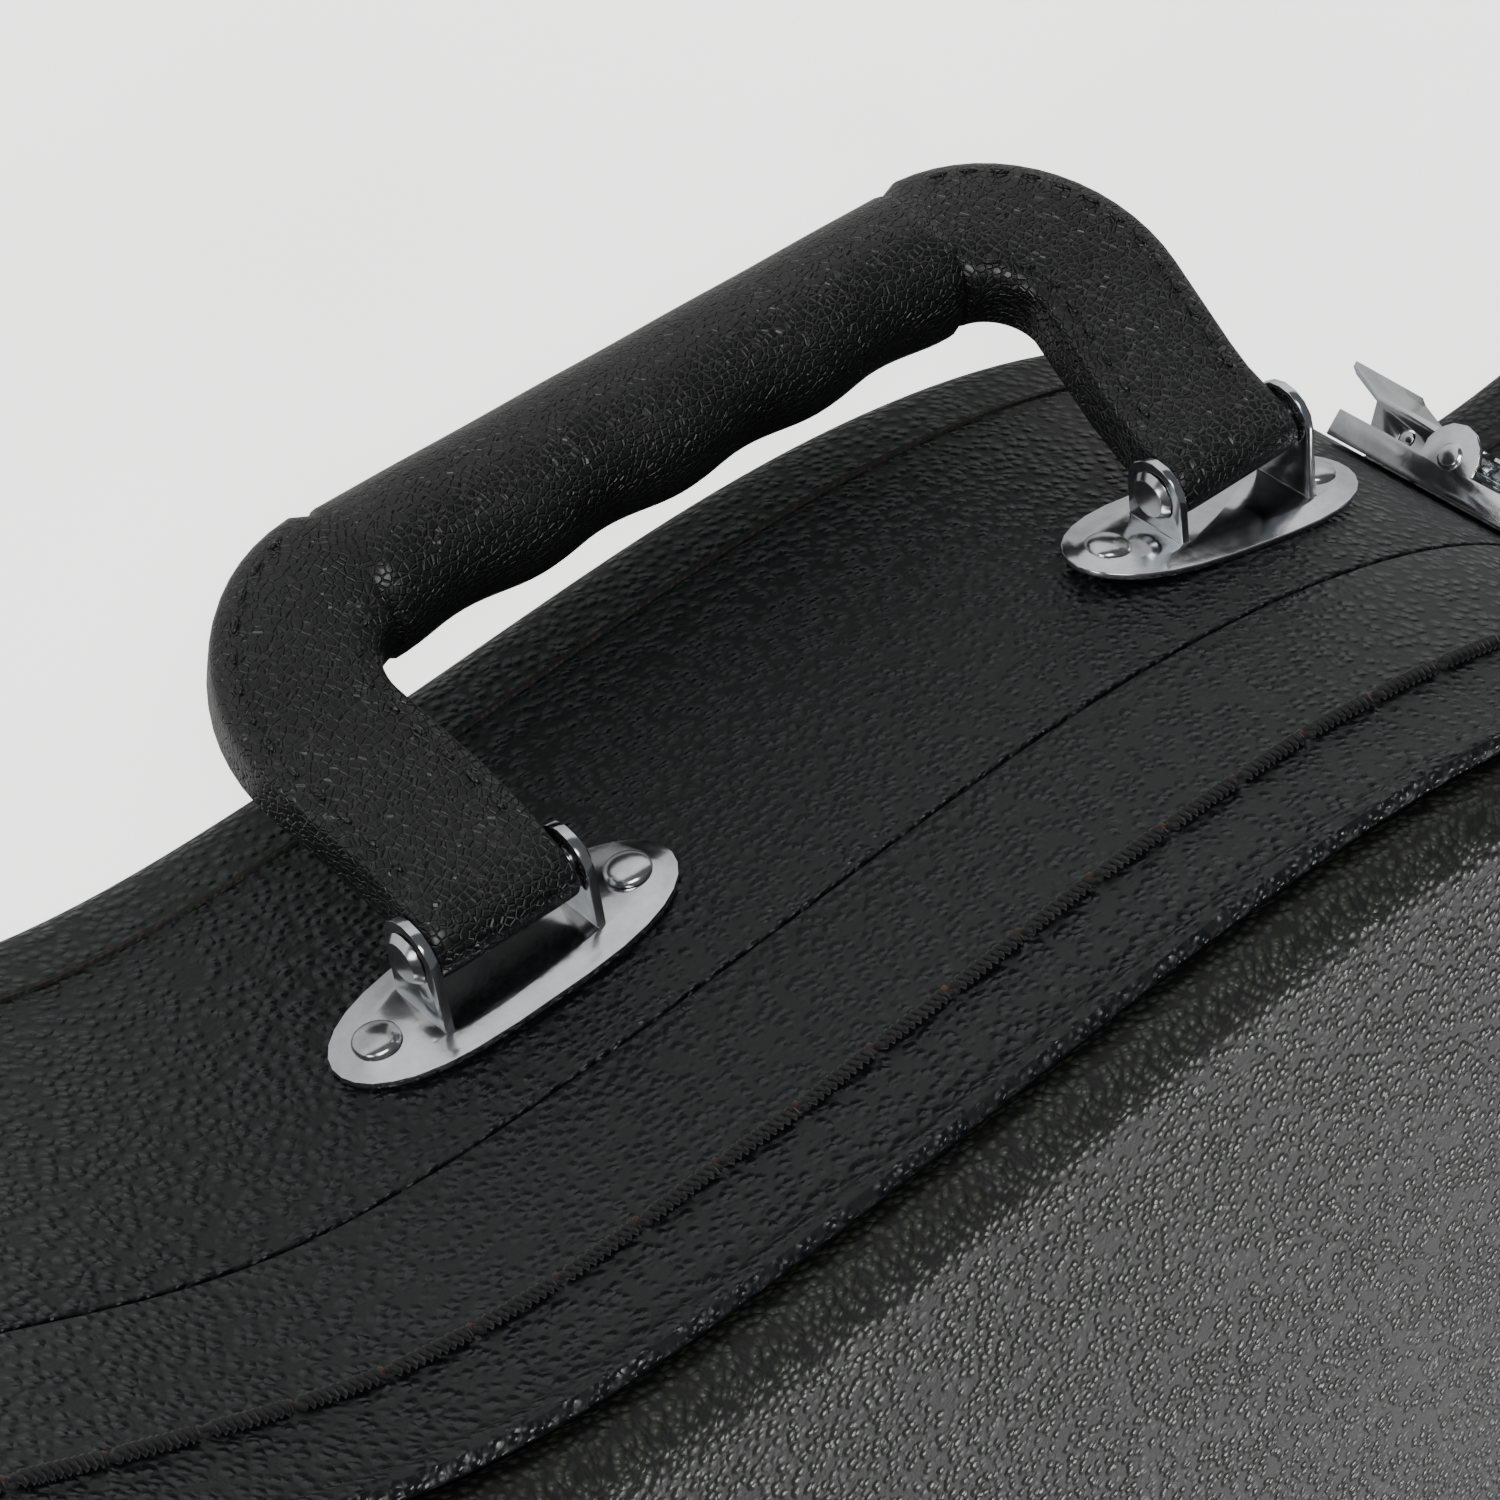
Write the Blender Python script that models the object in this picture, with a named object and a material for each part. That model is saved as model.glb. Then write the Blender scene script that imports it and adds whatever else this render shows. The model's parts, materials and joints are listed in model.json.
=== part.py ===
# A hardshell case for an acoustic guitar, lying on its back with the lid shut.
# Metres, +Z up. The neck end points to -X, the handle side to -Y and the hinge side to +Y.
# The origin is the middle of the face that the case rests on.
import math

import bmesh
import bpy
import numpy as np
from mathutils import Matrix, Vector

# Outline of the case, seen from above
TAIL_TO_LOWER_BOUT = 0.150
LOWER_BOUT_TO_WAIST = 0.205
WAIST_TO_UPPER_BOUT = 0.095
UPPER_BOUT_TO_NECK = 0.2315
NECK_LENGTH = 0.326
HEAD_END_DEPTH = 0.0675
LOWER_BOUT_HALF_WIDTH = 0.2125
WAIST_HALF_WIDTH = 0.160
UPPER_BOUT_HALF_WIDTH = 0.163
NECK_HALF_WIDTH = 0.0745
HEAD_HALF_WIDTH = 0.0685

# Shells
BASE_WALL_HEIGHT = 0.095
LID_WALL_HEIGHT = 0.0515
WALL_THICKNESS = 0.006
PANEL_THICKNESS = 0.005
BOTTOM_EDGE_RADIUS = 0.010
SPLIT_GAP = 0.0005
LIP_RADIUS = 0.002
ROLL_INSET = 0.0045
ROLL_RADIUS = 0.004
ROLL_RISE = 0.010
GROOVE_DEPTH = 0.0015
LID_ARCH = 0.012
VALANCE_THICKNESS = 0.003
VALANCE_ABOVE_SPLIT = 0.008
VALANCE_BELOW_SPLIT = 0.030
VALANCE_CLEARANCE = 0.0009

# Clearances
SEAT_GAP = 0.0003
RUNNING_GAP = 0.0004
CUT_OVERRUN = 0.004

# Linings and the accessory box
FLOOR_LINING_THICKNESS = 0.010
SIDE_LINING_THICKNESS = 0.012
SIDE_LINING_BELOW_SPLIT = 0.004
LID_LINING_THICKNESS = 0.006
BOX_WALL_THICKNESS = 0.008
BOX_WALL_HEIGHT = 0.062
BOX_LENGTH = 0.190
BOX_FROM_NECK_START = 0.012
NECK_SCOOP_RADIUS = 0.036
NECK_SCOOP_ABOVE_WALL = 0.028
BOX_LID_WIDTH = 0.066
BOX_LID_THICKNESS = 0.005
BOX_LID_HEIGHT = 0.052
BOX_LID_GAP = 0.0008
PULL_TAB_LENGTH = 0.018
PULL_TAB_WIDTH = 0.016
PULL_TAB_THICKNESS = 0.0015
SHELF_BATTEN_HEIGHT = 0.012
CRADLE_LENGTH = 0.040
CRADLE_HEIGHT = 0.050

# Handle
HANDLE_FROM_UPPER_BOUT = 0.015
BRACKET_TO_WAIST_SIDE = 0.073
BRACKET_TO_NECK_SIDE = 0.078
BRACKET_BELOW_SPLIT = 0.0253
BRACKET_LENGTH = 0.065
BRACKET_WIDTH = 0.025
BRACKET_RIM_THICKNESS = 0.0012
BRACKET_RIM_WIDTH = 0.0024
BRACKET_SLOPE_WIDTH = 0.0015
BRACKET_EMBOSS = 0.0008
PIVOT_HEIGHT = 0.0125
EAR_THICKNESS = 0.0016
EAR_WIDTH = 0.0130
EAR_HOLE_RADIUS = 0.0032
PIN_RADIUS = 0.0028
PIN_HEAD_RADIUS = 0.0046
PIN_HEAD_THICKNESS = 0.0012
RIVET_SPACING = 0.0492
RIVET_HEAD_RADIUS = 0.0040
RIVET_HEAD_HEIGHT = 0.0016
LEG_WIDTH = 0.0270
LEG_THICKNESS = 0.0125
LEG_END_GAP = 0.0005
HANDLE_REACH = 0.060
HANDLE_CORNER_RADIUS = 0.0215
LEG_FLARE_DEG = 10.0
LEG_FLARE_START = 0.012
GRIP_LEAN = 0.0035
GRIP_DEPTH = 0.0250
GRIP_THICKNESS = 0.0250
GRIP_LENGTH = 0.118
FINGER_RIPPLE = 0.0016
GRIP_STEP = 0.0018
HANDLE_DROOP_DEG = 65.0

# Latches
LATCH_WIDTH = 0.0280
LATCH_PLATE_THICKNESS = 0.0012
LATCH_PLATE_LENGTH = 0.0440
LATCH_BELOW_SPLIT = 0.0040
SKIRT_HEIGHT = 0.0080
CHEEK_THICKNESS = 0.0012
CHEEK_RADIUS = 0.0062
LEVER_PIVOT_BELOW_SPLIT = 0.0220
LEVER_PIVOT_HEIGHT = 0.0070
LEVER_PIN_RADIUS = 0.0016
LEVER_THICKNESS = 0.0012
LEVER_FLANGE_DEPTH = 0.0050
LEVER_ABOVE_PIVOT = 0.0040
LEVER_TAB_LENGTH = 0.0290
LEVER_TAB_RISE = 0.0035
LINK_PIVOT_FROM_LEVER_PIVOT = 0.0110
LINK_WIDTH = 0.0120
LINK_THICKNESS = 0.0012
LINK_PIN_RADIUS = 0.0014
LINK_LENGTH = 0.0515
KEEPER_WIDTH = 0.0240
KEEPER_HEIGHT = 0.0150
KEEPER_ABOVE_SPLIT = 0.0050
KEEPER_THICKNESS = 0.0012
KEEPER_LIP = 0.0034
LATCH_ON_LOWER_BOUT = 0.012
LATCH_ON_SHOULDER = 0.121
LATCH_ON_NECK = 0.400

# Hinges
HINGE_LEAF_WIDTH = 0.044
HINGE_LEAF_HEIGHT = 0.026
HINGE_LEAF_THICKNESS = 0.0014
HINGE_AXIS_OFFSET = 0.0052
KNUCKLE_RADIUS = 0.0032
HINGE_PIN_RADIUS = 0.0014
HINGE_PIN_GAP = 0.00015
KNUCKLE_GAP = 0.0004
HEAD_HINGE_FROM_NECK = 0.268

# Counts
STEPS_PER_SPAN = 3
LEG_END_SHARE = 0.85
GRIP_STEPS = 16
FINGER_WAVES = 4
ROUND_SIDES = 16
SMALL_SIDES = 12
GRIP_SIDES = 16
BRACKET_SIDES = 32
ROOM_SHARES = (0.0, 0.25, 0.5, 0.75, 1.0)
ACROSS_SHARES = (-1.0, -0.78, -0.5, -0.22, 0.0, 0.22, 0.5, 0.78, 1.0)

# Levels that follow from the sizes above
SPLIT_Z = BASE_WALL_HEIGHT
LID_BOTTOM_Z = SPLIT_Z + SPLIT_GAP
LIP_Z = LID_BOTTOM_Z + LID_WALL_HEIGHT
FLOOR_LINING_Z = PANEL_THICKNESS + SEAT_GAP
FLOOR_Z = FLOOR_LINING_Z + FLOOR_LINING_THICKNESS
VALANCE_INSET = WALL_THICKNESS + VALANCE_CLEARANCE
SIDE_LINING_INSET = VALANCE_INSET + VALANCE_THICKNESS + SEAT_GAP
INNER_INSET = SIDE_LINING_INSET + SIDE_LINING_THICKNESS
HINGE_Z = SPLIT_Z + SPLIT_GAP / 2
CASE_LENGTH = (
    TAIL_TO_LOWER_BOUT + LOWER_BOUT_TO_WAIST + WAIST_TO_UPPER_BOUT
    + UPPER_BOUT_TO_NECK + NECK_LENGTH + HEAD_END_DEPTH
)
TAIL_X = CASE_LENGTH / 2
LOWER_X = TAIL_X - TAIL_TO_LOWER_BOUT
WAIST_X = LOWER_X - LOWER_BOUT_TO_WAIST
UPPER_X = WAIST_X - WAIST_TO_UPPER_BOUT
NECK_X = UPPER_X - UPPER_BOUT_TO_NECK
HEAD_SIDE_X = NECK_X - NECK_LENGTH
HEAD_X = HEAD_SIDE_X - HEAD_END_DEPTH
HANDLE_X = UPPER_X + HANDLE_FROM_UPPER_BOUT
BRACKET_Z = SPLIT_Z - BRACKET_BELOW_SPLIT

# Stations of the half outline: from, to, share of the way along, share of the change in width
SPAN_SHARES = (
    ("tail", "lower", 0.0, 0.0),
    ("tail", "lower", 0.10, 0.51),
    ("tail", "lower", 0.46, 0.865),
    ("lower", "waist", 0.0, 0.0),
    ("lower", "waist", 0.459, 0.36),
    ("lower", "waist", 0.73, 0.885),
    ("waist", "upper", 0.0, 0.0),
    ("waist", "upper", 0.5, 0.52),
    ("upper", "neck", 0.0, 0.0),
    ("upper", "neck", 0.33, 0.141),
    ("upper", "neck", 0.50, 0.407),
    ("upper", "neck", 0.68, 0.955),
    ("neck", "head_side", 0.0, 0.0),
    ("neck", "head_side", 0.5, 0.5),
    ("head_side", "head", 0.0, 0.0),
    ("head_side", "head", 0.70, 0.16),
    ("head_side", "head", 1.0, 0.60),
)
STATIONS = {
    "tail": (TAIL_X, 0.0),
    "lower": (LOWER_X, LOWER_BOUT_HALF_WIDTH),
    "waist": (WAIST_X, WAIST_HALF_WIDTH),
    "upper": (UPPER_X, UPPER_BOUT_HALF_WIDTH),
    "neck": (NECK_X, NECK_HALF_WIDTH),
    "head_side": (HEAD_SIDE_X, HEAD_HALF_WIDTH),
    "head": (HEAD_X, 0.0),
}


def clear_scene():
    for old in list(bpy.data.objects):
        bpy.data.objects.remove(old, do_unlink=True)


def collection(name):
    made = bpy.data.collections.new(name)
    bpy.context.scene.collection.children.link(made)
    return made


def material(name, color, roughness, metallic=0.0):
    made = bpy.data.materials.new(name)
    made.use_nodes = True
    shader = made.node_tree.nodes["Principled BSDF"]
    shader.inputs["Base Color"].default_value = (*color, 1.0)
    shader.inputs["Roughness"].default_value = roughness
    shader.inputs["Metallic"].default_value = metallic
    return made


clear_scene()
PARTS = collection("guitar_case")
CUTTERS = collection("cutters")
VINYL = ("grained vinyl", (0.022, 0.024, 0.026), 0.5, 0.0)
PLY = ("birch plywood", (0.45, 0.32, 0.19), 0.6, 0.0)
PLUSH = ("plush lining", (0.030, 0.028, 0.027), 0.95, 0.0)
PLASTIC = ("moulded handle plastic", (0.014, 0.014, 0.014), 0.45, 0.0)
CHROME = ("chromed steel", (0.72, 0.73, 0.74), 0.12, 1.0)
RIBBON = ("woven ribbon", (0.020, 0.019, 0.018), 0.8, 0.0)


class Outline:
    """The closed outline as a smooth curve. u runs from 0 at the tail by the handle side to 0.5 at the head."""

    def __init__(self):
        half = []
        for start, end, along, change in SPAN_SHARES:
            x0, w0 = STATIONS[start]
            x1, w1 = STATIONS[end]
            half.append((x0 + (x1 - x0) * along, -(w0 + (w1 - w0) * change)))
        head = (HEAD_X, 0.0)
        other = [(x, -y) for x, y in half[:0:-1]]
        self.knots = np.array(half + [head] + other)
        self.spans = len(self.knots)
        closed = np.vstack([self.knots, self.knots[:1]])
        self.lengths = np.hypot(*np.diff(closed, axis=0).T)
        self.ends = np.concatenate([[0.0], np.cumsum(self.lengths)])
        self.bend = self.second_derivatives()

    def second_derivatives(self):
        count = self.spans
        h = self.lengths
        rows = np.zeros((count, count))
        right = np.zeros((count, 2))
        for i in range(count):
            before, after = (i - 1) % count, (i + 1) % count
            rows[i, before] += h[before]
            rows[i, i] += 2 * (h[before] + h[i])
            rows[i, after] += h[i]
            rise = (self.knots[after] - self.knots[i]) / h[i]
            fall = (self.knots[i] - self.knots[before]) / h[before]
            right[i] = 6 * (rise - fall)
        return np.linalg.solve(rows, right)

    def at(self, u):
        """Point, tangent and outward normal at u, a share of the knots' path."""
        s = (u % 1.0) * self.ends[-1]
        i = min(int(np.searchsorted(self.ends, s, side="right")) - 1, self.spans - 1)
        j = (i + 1) % self.spans
        h = self.lengths[i]
        a = (self.ends[i + 1] - s) / h
        b = 1 - a
        bend_a, bend_b = self.bend[i], self.bend[j]
        point = a * self.knots[i] + b * self.knots[j]
        point = point + ((a**3 - a) * bend_a + (b**3 - b) * bend_b) * h * h / 6
        slope = (self.knots[j] - self.knots[i]) / h
        slope = slope + ((3 * b * b - 1) * bend_b - (3 * a * a - 1) * bend_a) * h / 6
        tangent = slope / np.hypot(*slope)
        return point, tangent, np.array([-tangent[1], tangent[0]])

    def places(self):
        """The values of u that the solids' rings use: a few in each span between knots."""
        found = []
        for i in range(self.spans):
            for step in range(STEPS_PER_SPAN):
                s = self.ends[i] + self.lengths[i] * step / STEPS_PER_SPAN
                found.append(s / self.ends[-1])
        return found

    def ring(self, inset, z):
        points = []
        for u in self.places():
            point, _, out = self.at(u)
            x, y = point - out * inset
            points.append(Vector((x, y, z)))
        return points

    def u_at_x(self, x):
        """The place on the handle side whose x is this one."""
        low, high = 0.0, 0.5
        for _ in range(40):
            middle = (low + high) / 2
            if self.at(middle)[0][0] > x:
                low = middle
            else:
                high = middle
        return (low + high) / 2

    def half_width(self, x):
        return abs(self.at(self.u_at_x(x))[0][1])


OUTLINE = Outline()


def wall_frame(u, z, length):
    """A frame on the wall: X along it, Y up the case's height, Z out of it, clear of the bulge under length."""
    centre, tangent, out = OUTLINE.at(u)
    reach = length / 2 / OUTLINE.ends[-1]
    polyline = faceted_wall(u, reach)
    start, end = polyline[0], polyline[-1]
    tangent = (end - start) / np.hypot(*(end - start))
    out = np.array([-tangent[1], tangent[0]])
    proud = max(float((p - centre) @ out) for p in polyline)
    origin = centre + out * (proud + SEAT_GAP)
    x_axis = Vector((-tangent[0], -tangent[1], 0))
    z_axis = Vector((out[0], out[1], 0))
    y_axis = z_axis.cross(x_axis)
    frame = Matrix((x_axis, y_axis, z_axis)).transposed().to_4x4()
    frame.translation = Vector((origin[0], origin[1], z))
    return frame


def faceted_wall(u, reach):
    """Points of the ring's own straight facets within reach of u, so that a plate clears the solid wall."""
    places = OUTLINE.places()
    marks = sorted({u - reach, u, u + reach} | {p + k for p in places for k in (-1, 0, 1) if u - reach < p + k < u + reach})
    return [chord_point(m, places) for m in marks]


def chord_point(u, places):
    u = u % 1.0
    bounds = places + [1.0]
    i = max(k for k in range(len(places)) if bounds[k] <= u)
    share = (u - bounds[i]) / (bounds[i + 1] - bounds[i])
    return OUTLINE.at(bounds[i])[0] * (1 - share) + OUTLINE.at(bounds[i + 1])[0] * share


def put(name, mesh, look, place=None, smooth_deg=40.0):
    """An object of this mesh in the case's collection, with its own material."""
    made = bpy.data.objects.new(name, mesh)
    made.matrix_world = place or Matrix()
    PARTS.objects.link(made)
    own = material(f"{name} {look[0]}", *look[1:])
    if mesh.users > 1:
        made.material_slots[0].link = "OBJECT"
        made.material_slots[0].material = own
    else:
        mesh.materials.append(own)
    mesh.shade_smooth()
    mesh.set_sharp_from_angle(angle=math.radians(smooth_deg))
    return made


def to_mesh(bm, name):
    bmesh.ops.recalc_face_normals(bm, faces=bm.faces)
    mesh = bpy.data.meshes.new(name)
    bm.to_mesh(mesh)
    bm.free()
    return mesh


def loft(rings, cap=True, closed=False):
    """Skins a list of rings of equal length. closed joins the last ring to the first, as round a frame."""
    bm = bmesh.new()
    rows = [[bm.verts.new(p) for p in ring] for ring in rings]
    count = len(rows[0])
    pairs = list(zip(rows, rows[1:]))
    if closed:
        pairs.append((rows[-1], rows[0]))
    for lower, upper in pairs:
        for i in range(count):
            j = (i + 1) % count
            bm.faces.new((lower[i], lower[j], upper[j], upper[i]))
    if cap and not closed:
        bm.faces.new(rows[0])
        bm.faces.new(rows[-1])
    return bm


def box(low, high):
    bm = bmesh.new()
    bmesh.ops.create_cube(bm, size=1.0)
    low, high = Vector(low), Vector(high)
    size = high - low
    bmesh.ops.scale(bm, vec=size, verts=bm.verts)
    bmesh.ops.translate(bm, vec=(low + high) / 2, verts=bm.verts)
    return bm


def cylinder(radius, start, end, sides=SMALL_SIDES, top_radius=None):
    """A closed cylinder or cone between two points."""
    start, end = Vector(start), Vector(end)
    axis = end - start
    bm = bmesh.new()
    top = radius if top_radius is None else top_radius
    bmesh.ops.create_cone(bm, cap_ends=True, segments=sides, radius1=radius, radius2=top, depth=axis.length)
    turn = Vector((0, 0, 1)).rotation_difference(axis).to_matrix().to_4x4()
    bmesh.ops.transform(bm, matrix=Matrix.Translation((start + end) / 2) @ turn, verts=bm.verts)
    return bm


def hull(points):
    bm = bmesh.new()
    for point in points:
        bm.verts.new(point)
    made = bmesh.ops.convex_hull(bm, input=bm.verts)
    spare = [v for v in made["geom_interior"] if isinstance(v, bmesh.types.BMVert)]
    bmesh.ops.delete(bm, geom=spare, context="VERTS")
    return bm


def extruded(outline, depth_axis, start, end):
    """A flat outline of 2-D points pushed along X, Y or Z from start to end."""
    def place(a, b, depth):
        values = [a, b]
        values.insert("XYZ".index(depth_axis), depth)
        return Vector(values)
    return loft([[place(a, b, start) for a, b in outline], [place(a, b, end) for a, b in outline]])


def helper(name, bm):
    """A solid that only cuts or joins another."""
    made = bpy.data.objects.new(name, to_mesh(bm, name))
    CUTTERS.objects.link(made)
    made.hide_render = True
    made.display_type = "WIRE"
    return made


def combined(name, bm, joins=(), cuts=()):
    """The mesh of bm with these solids joined to it and those cut from it."""
    body = bpy.data.objects.new(name, to_mesh(bm, name))
    CUTTERS.objects.link(body)
    tools = []
    for operation, solids in (("UNION", joins), ("DIFFERENCE", cuts)):
        for solid in solids:
            tool = helper(f"{name} {operation.lower()}", solid)
            tools.append(tool)
            step = body.modifiers.new(operation.lower(), "BOOLEAN")
            step.operation = operation
            step.solver = "EXACT"
            step.object = tool
    bpy.context.view_layer.update()
    graph = bpy.context.evaluated_depsgraph_get()
    mesh = bpy.data.meshes.new_from_object(body.evaluated_get(graph))
    mesh.name = name
    mesh.materials.clear()
    for spare in (*tools, body):
        bpy.data.objects.remove(spare, do_unlink=True)
    return mesh


def band(name, section, look):
    """A closed section of (inset, z) points carried round the outline."""
    rings = [OUTLINE.ring(inset, z) for inset, z in section]
    return put(name, to_mesh(loft(rings, closed=True), name), look)


def slab(name, inset, low, high, look):
    rings = [OUTLINE.ring(inset, low), OUTLINE.ring(inset, high)]
    return put(name, to_mesh(loft(rings), name), look)


def arc(centre, radius, start_deg, end_deg, steps):
    """Points on an arc, ends included."""
    turns = [math.radians(start_deg + (end_deg - start_deg) * i / steps) for i in range(steps + 1)]
    return [(centre[0] + radius * math.cos(t), centre[1] + radius * math.sin(t)) for t in turns]


def base_shell():
    edge = arc((BOTTOM_EDGE_RADIUS, BOTTOM_EDGE_RADIUS), BOTTOM_EDGE_RADIUS, 180, 270, 4)
    section = [(0, SPLIT_Z), *edge]
    section += [(BOTTOM_EDGE_RADIUS, PANEL_THICKNESS), (WALL_THICKNESS, PANEL_THICKNESS), (WALL_THICKNESS, SPLIT_Z)]
    band("base_wall", section, VINYL)
    slab("base_bottom_panel", BOTTOM_EDGE_RADIUS + SEAT_GAP, 0, PANEL_THICKNESS, VINYL)
    low, high = SPLIT_Z - VALANCE_BELOW_SPLIT, SPLIT_Z + VALANCE_ABOVE_SPLIT
    inner = VALANCE_INSET + VALANCE_THICKNESS
    chamfer = VALANCE_THICKNESS / 2
    section = [(VALANCE_INSET, low), (inner, low), (inner, high), (VALANCE_INSET + chamfer, high), (VALANCE_INSET, high - chamfer)]
    band("base_valance", section, PLY)


def lid_wall():
    lip = arc((LIP_RADIUS, LIP_Z - LIP_RADIUS), LIP_RADIUS, 180, 90, 2)
    section = [(0, LID_BOTTOM_Z), *lip, (WALL_THICKNESS, LIP_Z), (WALL_THICKNESS, LID_BOTTOM_Z)]
    band("lid_wall", section[::-1], VINYL)


def arch_height(x, share):
    """How far the lid's panel stands above its edge, over the width."""
    body = OUTLINE.half_width(x) / LOWER_BOUT_HALF_WIDTH
    return LID_ARCH * body * (1 - share * share)


def arched_row(u, inset, base_z):
    """Points from the handle side across to the hinge side at one place along the case."""
    point, _, out = OUTLINE.at(u)
    x, y = point - out * inset
    return [Vector((x, -y * share, base_z + arch_height(x, share))) for share in ACROSS_SHARES]


def lid_panel(name, inset, low_z, high_z, edge_section, look):
    """The arched panel: a rolled edge carried round the outline, then rows across it."""
    places = OUTLINE.places()
    half = len(places) // 2
    bm = bmesh.new()

    def sheet(base_z):
        ends = {}
        rows = []
        for i in range(half + 1):
            row = [bm.verts.new(p) for p in arched_row(places[i], inset, base_z)]
            rows.append(row)
        for first, second in zip(rows, rows[1:]):
            for k in range(len(ACROSS_SHARES) - 1):
                bm.faces.new((first[k], first[k + 1], second[k + 1], second[k]))
        ends["handle"] = [row[0] for row in rows]
        ends["hinge"] = [row[-1] for row in rows]
        return ends["handle"] + ends["hinge"][-2:0:-1]

    top_edge = sheet(high_z)
    low_edge = sheet(low_z)
    rings = [top_edge]
    for edge_inset, z in edge_section:
        ring = OUTLINE.ring(edge_inset, z)
        rings.append([bm.verts.new(p) for p in ring])
    rings.append(low_edge)
    count = len(places)
    for upper, lower in zip(rings, rings[1:]):
        for i in range(count):
            j = (i + 1) % count
            bm.faces.new((upper[i], upper[j], lower[j], lower[i]))
    bmesh.ops.remove_doubles(bm, verts=bm.verts, dist=SEAT_GAP / 10)
    bmesh.ops.dissolve_degenerate(bm, edges=bm.edges, dist=SEAT_GAP / 10)
    return put(name, to_mesh(bm, name), look)


def lid_shell():
    lid_wall()
    seat = LIP_Z + SEAT_GAP
    crest = LIP_Z + ROLL_RISE
    roll_centre = (ROLL_INSET + ROLL_RADIUS, crest - ROLL_RADIUS)
    roll = arc(roll_centre, ROLL_RADIUS, 90, 200, 4)
    groove = LIP_RADIUS + GROOVE_DEPTH + ROLL_INSET
    section = [*roll, (groove, seat + GROOVE_DEPTH), (groove, seat)]
    inset = ROLL_INSET + 2 * ROLL_RADIUS
    lid_panel("lid_top_panel", inset, LIP_Z + SEAT_GAP, crest - GROOVE_DEPTH, section, VINYL)
    lining_low = LIP_Z - LID_LINING_THICKNESS
    edge = WALL_THICKNESS + SEAT_GAP
    slab("lid_lining", edge, lining_low, LIP_Z, PLUSH)


def linings():
    slab("base_floor_lining", WALL_THICKNESS + SEAT_GAP, FLOOR_LINING_Z, FLOOR_Z, PLUSH)
    low, high = FLOOR_Z + SEAT_GAP, SPLIT_Z - SIDE_LINING_BELOW_SPLIT
    rounding = SIDE_LINING_THICKNESS / 3
    section = [
        (SIDE_LINING_INSET, low), (INNER_INSET, low), (INNER_INSET, high - rounding),
        (INNER_INSET - rounding, high), (SIDE_LINING_INSET, high),
    ]
    band("base_side_lining", section, PLUSH)


def scooped_wall(width, height, thickness, scoop_radius, scoop_centre_z):
    """A cross wall, standing at x from 0 to thickness, with a round scoop for the neck in its top edge."""
    half = width / 2
    reach = math.degrees(math.asin((scoop_centre_z - height) / scoop_radius))
    scoop = arc((0, scoop_centre_z), scoop_radius, -reach, -180 + reach, 10)
    outline = [(half, FLOOR_Z + SEAT_GAP), (half, height), *scoop, (-half, height), (-half, FLOOR_Z + SEAT_GAP)]
    return to_mesh(extruded(outline, "X", 0, thickness), "cross wall")


def inner_half_width(x, reach):
    """Half the room between the side linings over a length of the case."""
    widths = [OUTLINE.half_width(x + reach * share) for share in ROOM_SHARES]
    return min(widths) - INNER_INSET


def accessory_box():
    front_x = NECK_X - BOX_FROM_NECK_START
    back_x = front_x - BOX_LENGTH
    total = BOX_LENGTH + 2 * BOX_WALL_THICKNESS
    half = inner_half_width(back_x - BOX_WALL_THICKNESS, total) - SEAT_GAP * 2
    scoop_z = BOX_WALL_HEIGHT + NECK_SCOOP_ABOVE_WALL
    wall = scooped_wall(2 * half, BOX_WALL_HEIGHT, BOX_WALL_THICKNESS, NECK_SCOOP_RADIUS, scoop_z)
    put("accessory_box_front_wall", wall, PLUSH, Matrix.Translation((front_x, 0, 0)))
    rear = scooped_wall(2 * half, BOX_WALL_HEIGHT, BOX_WALL_THICKNESS, NECK_SCOOP_RADIUS, scoop_z)
    put("accessory_box_rear_wall", rear, PLUSH, Matrix.Translation((back_x - BOX_WALL_THICKNESS, 0, 0)))
    top = BOX_LID_HEIGHT
    low = top - BOX_LID_THICKNESS
    lid_half = BOX_LID_WIDTH / 2
    ends = (back_x + SEAT_GAP, front_x - SEAT_GAP)
    for name, side in (("accessory_box_hinge_shelf", 1), ("accessory_box_pull_shelf", -1)):
        inner = lid_half + BOX_LID_GAP
        outline = [
            (side * inner, low), (side * inner, top), (side * half, top),
            (side * half, top - SHELF_BATTEN_HEIGHT), (side * (half - BOX_LID_THICKNESS), top - SHELF_BATTEN_HEIGHT),
            (side * (half - BOX_LID_THICKNESS), low),
        ]
        put(name, to_mesh(extruded(outline, "X", *ends), name), PLUSH)
    hinge = Matrix.Translation((0, lid_half, top))
    run = (ends[0] + BOX_LID_GAP, ends[1] - BOX_LID_GAP)
    panel = box((run[0], -BOX_LID_WIDTH, -BOX_LID_THICKNESS), (run[1], 0, 0))
    put("accessory_box_lid", to_mesh(panel, "accessory_box_lid"), PLUSH, hinge)
    middle = sum(run) / 2
    half_tab = PULL_TAB_WIDTH / 2
    sheet = PULL_TAB_THICKNESS
    front = -BOX_LID_WIDTH
    fold = [
        (front + PULL_TAB_LENGTH / 2, SEAT_GAP), (front + PULL_TAB_LENGTH / 2, SEAT_GAP + sheet),
        (front - sheet / 4, SEAT_GAP + sheet), (front - PULL_TAB_LENGTH / 4, SEAT_GAP + 2 * sheet),
        (front - PULL_TAB_LENGTH / 4, SEAT_GAP + sheet), (front, SEAT_GAP),
    ]
    tab = extruded(fold, "X", middle - half_tab, middle + half_tab)
    put("accessory_box_pull_tab", to_mesh(tab, "pull tab"), RIBBON, hinge)


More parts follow.
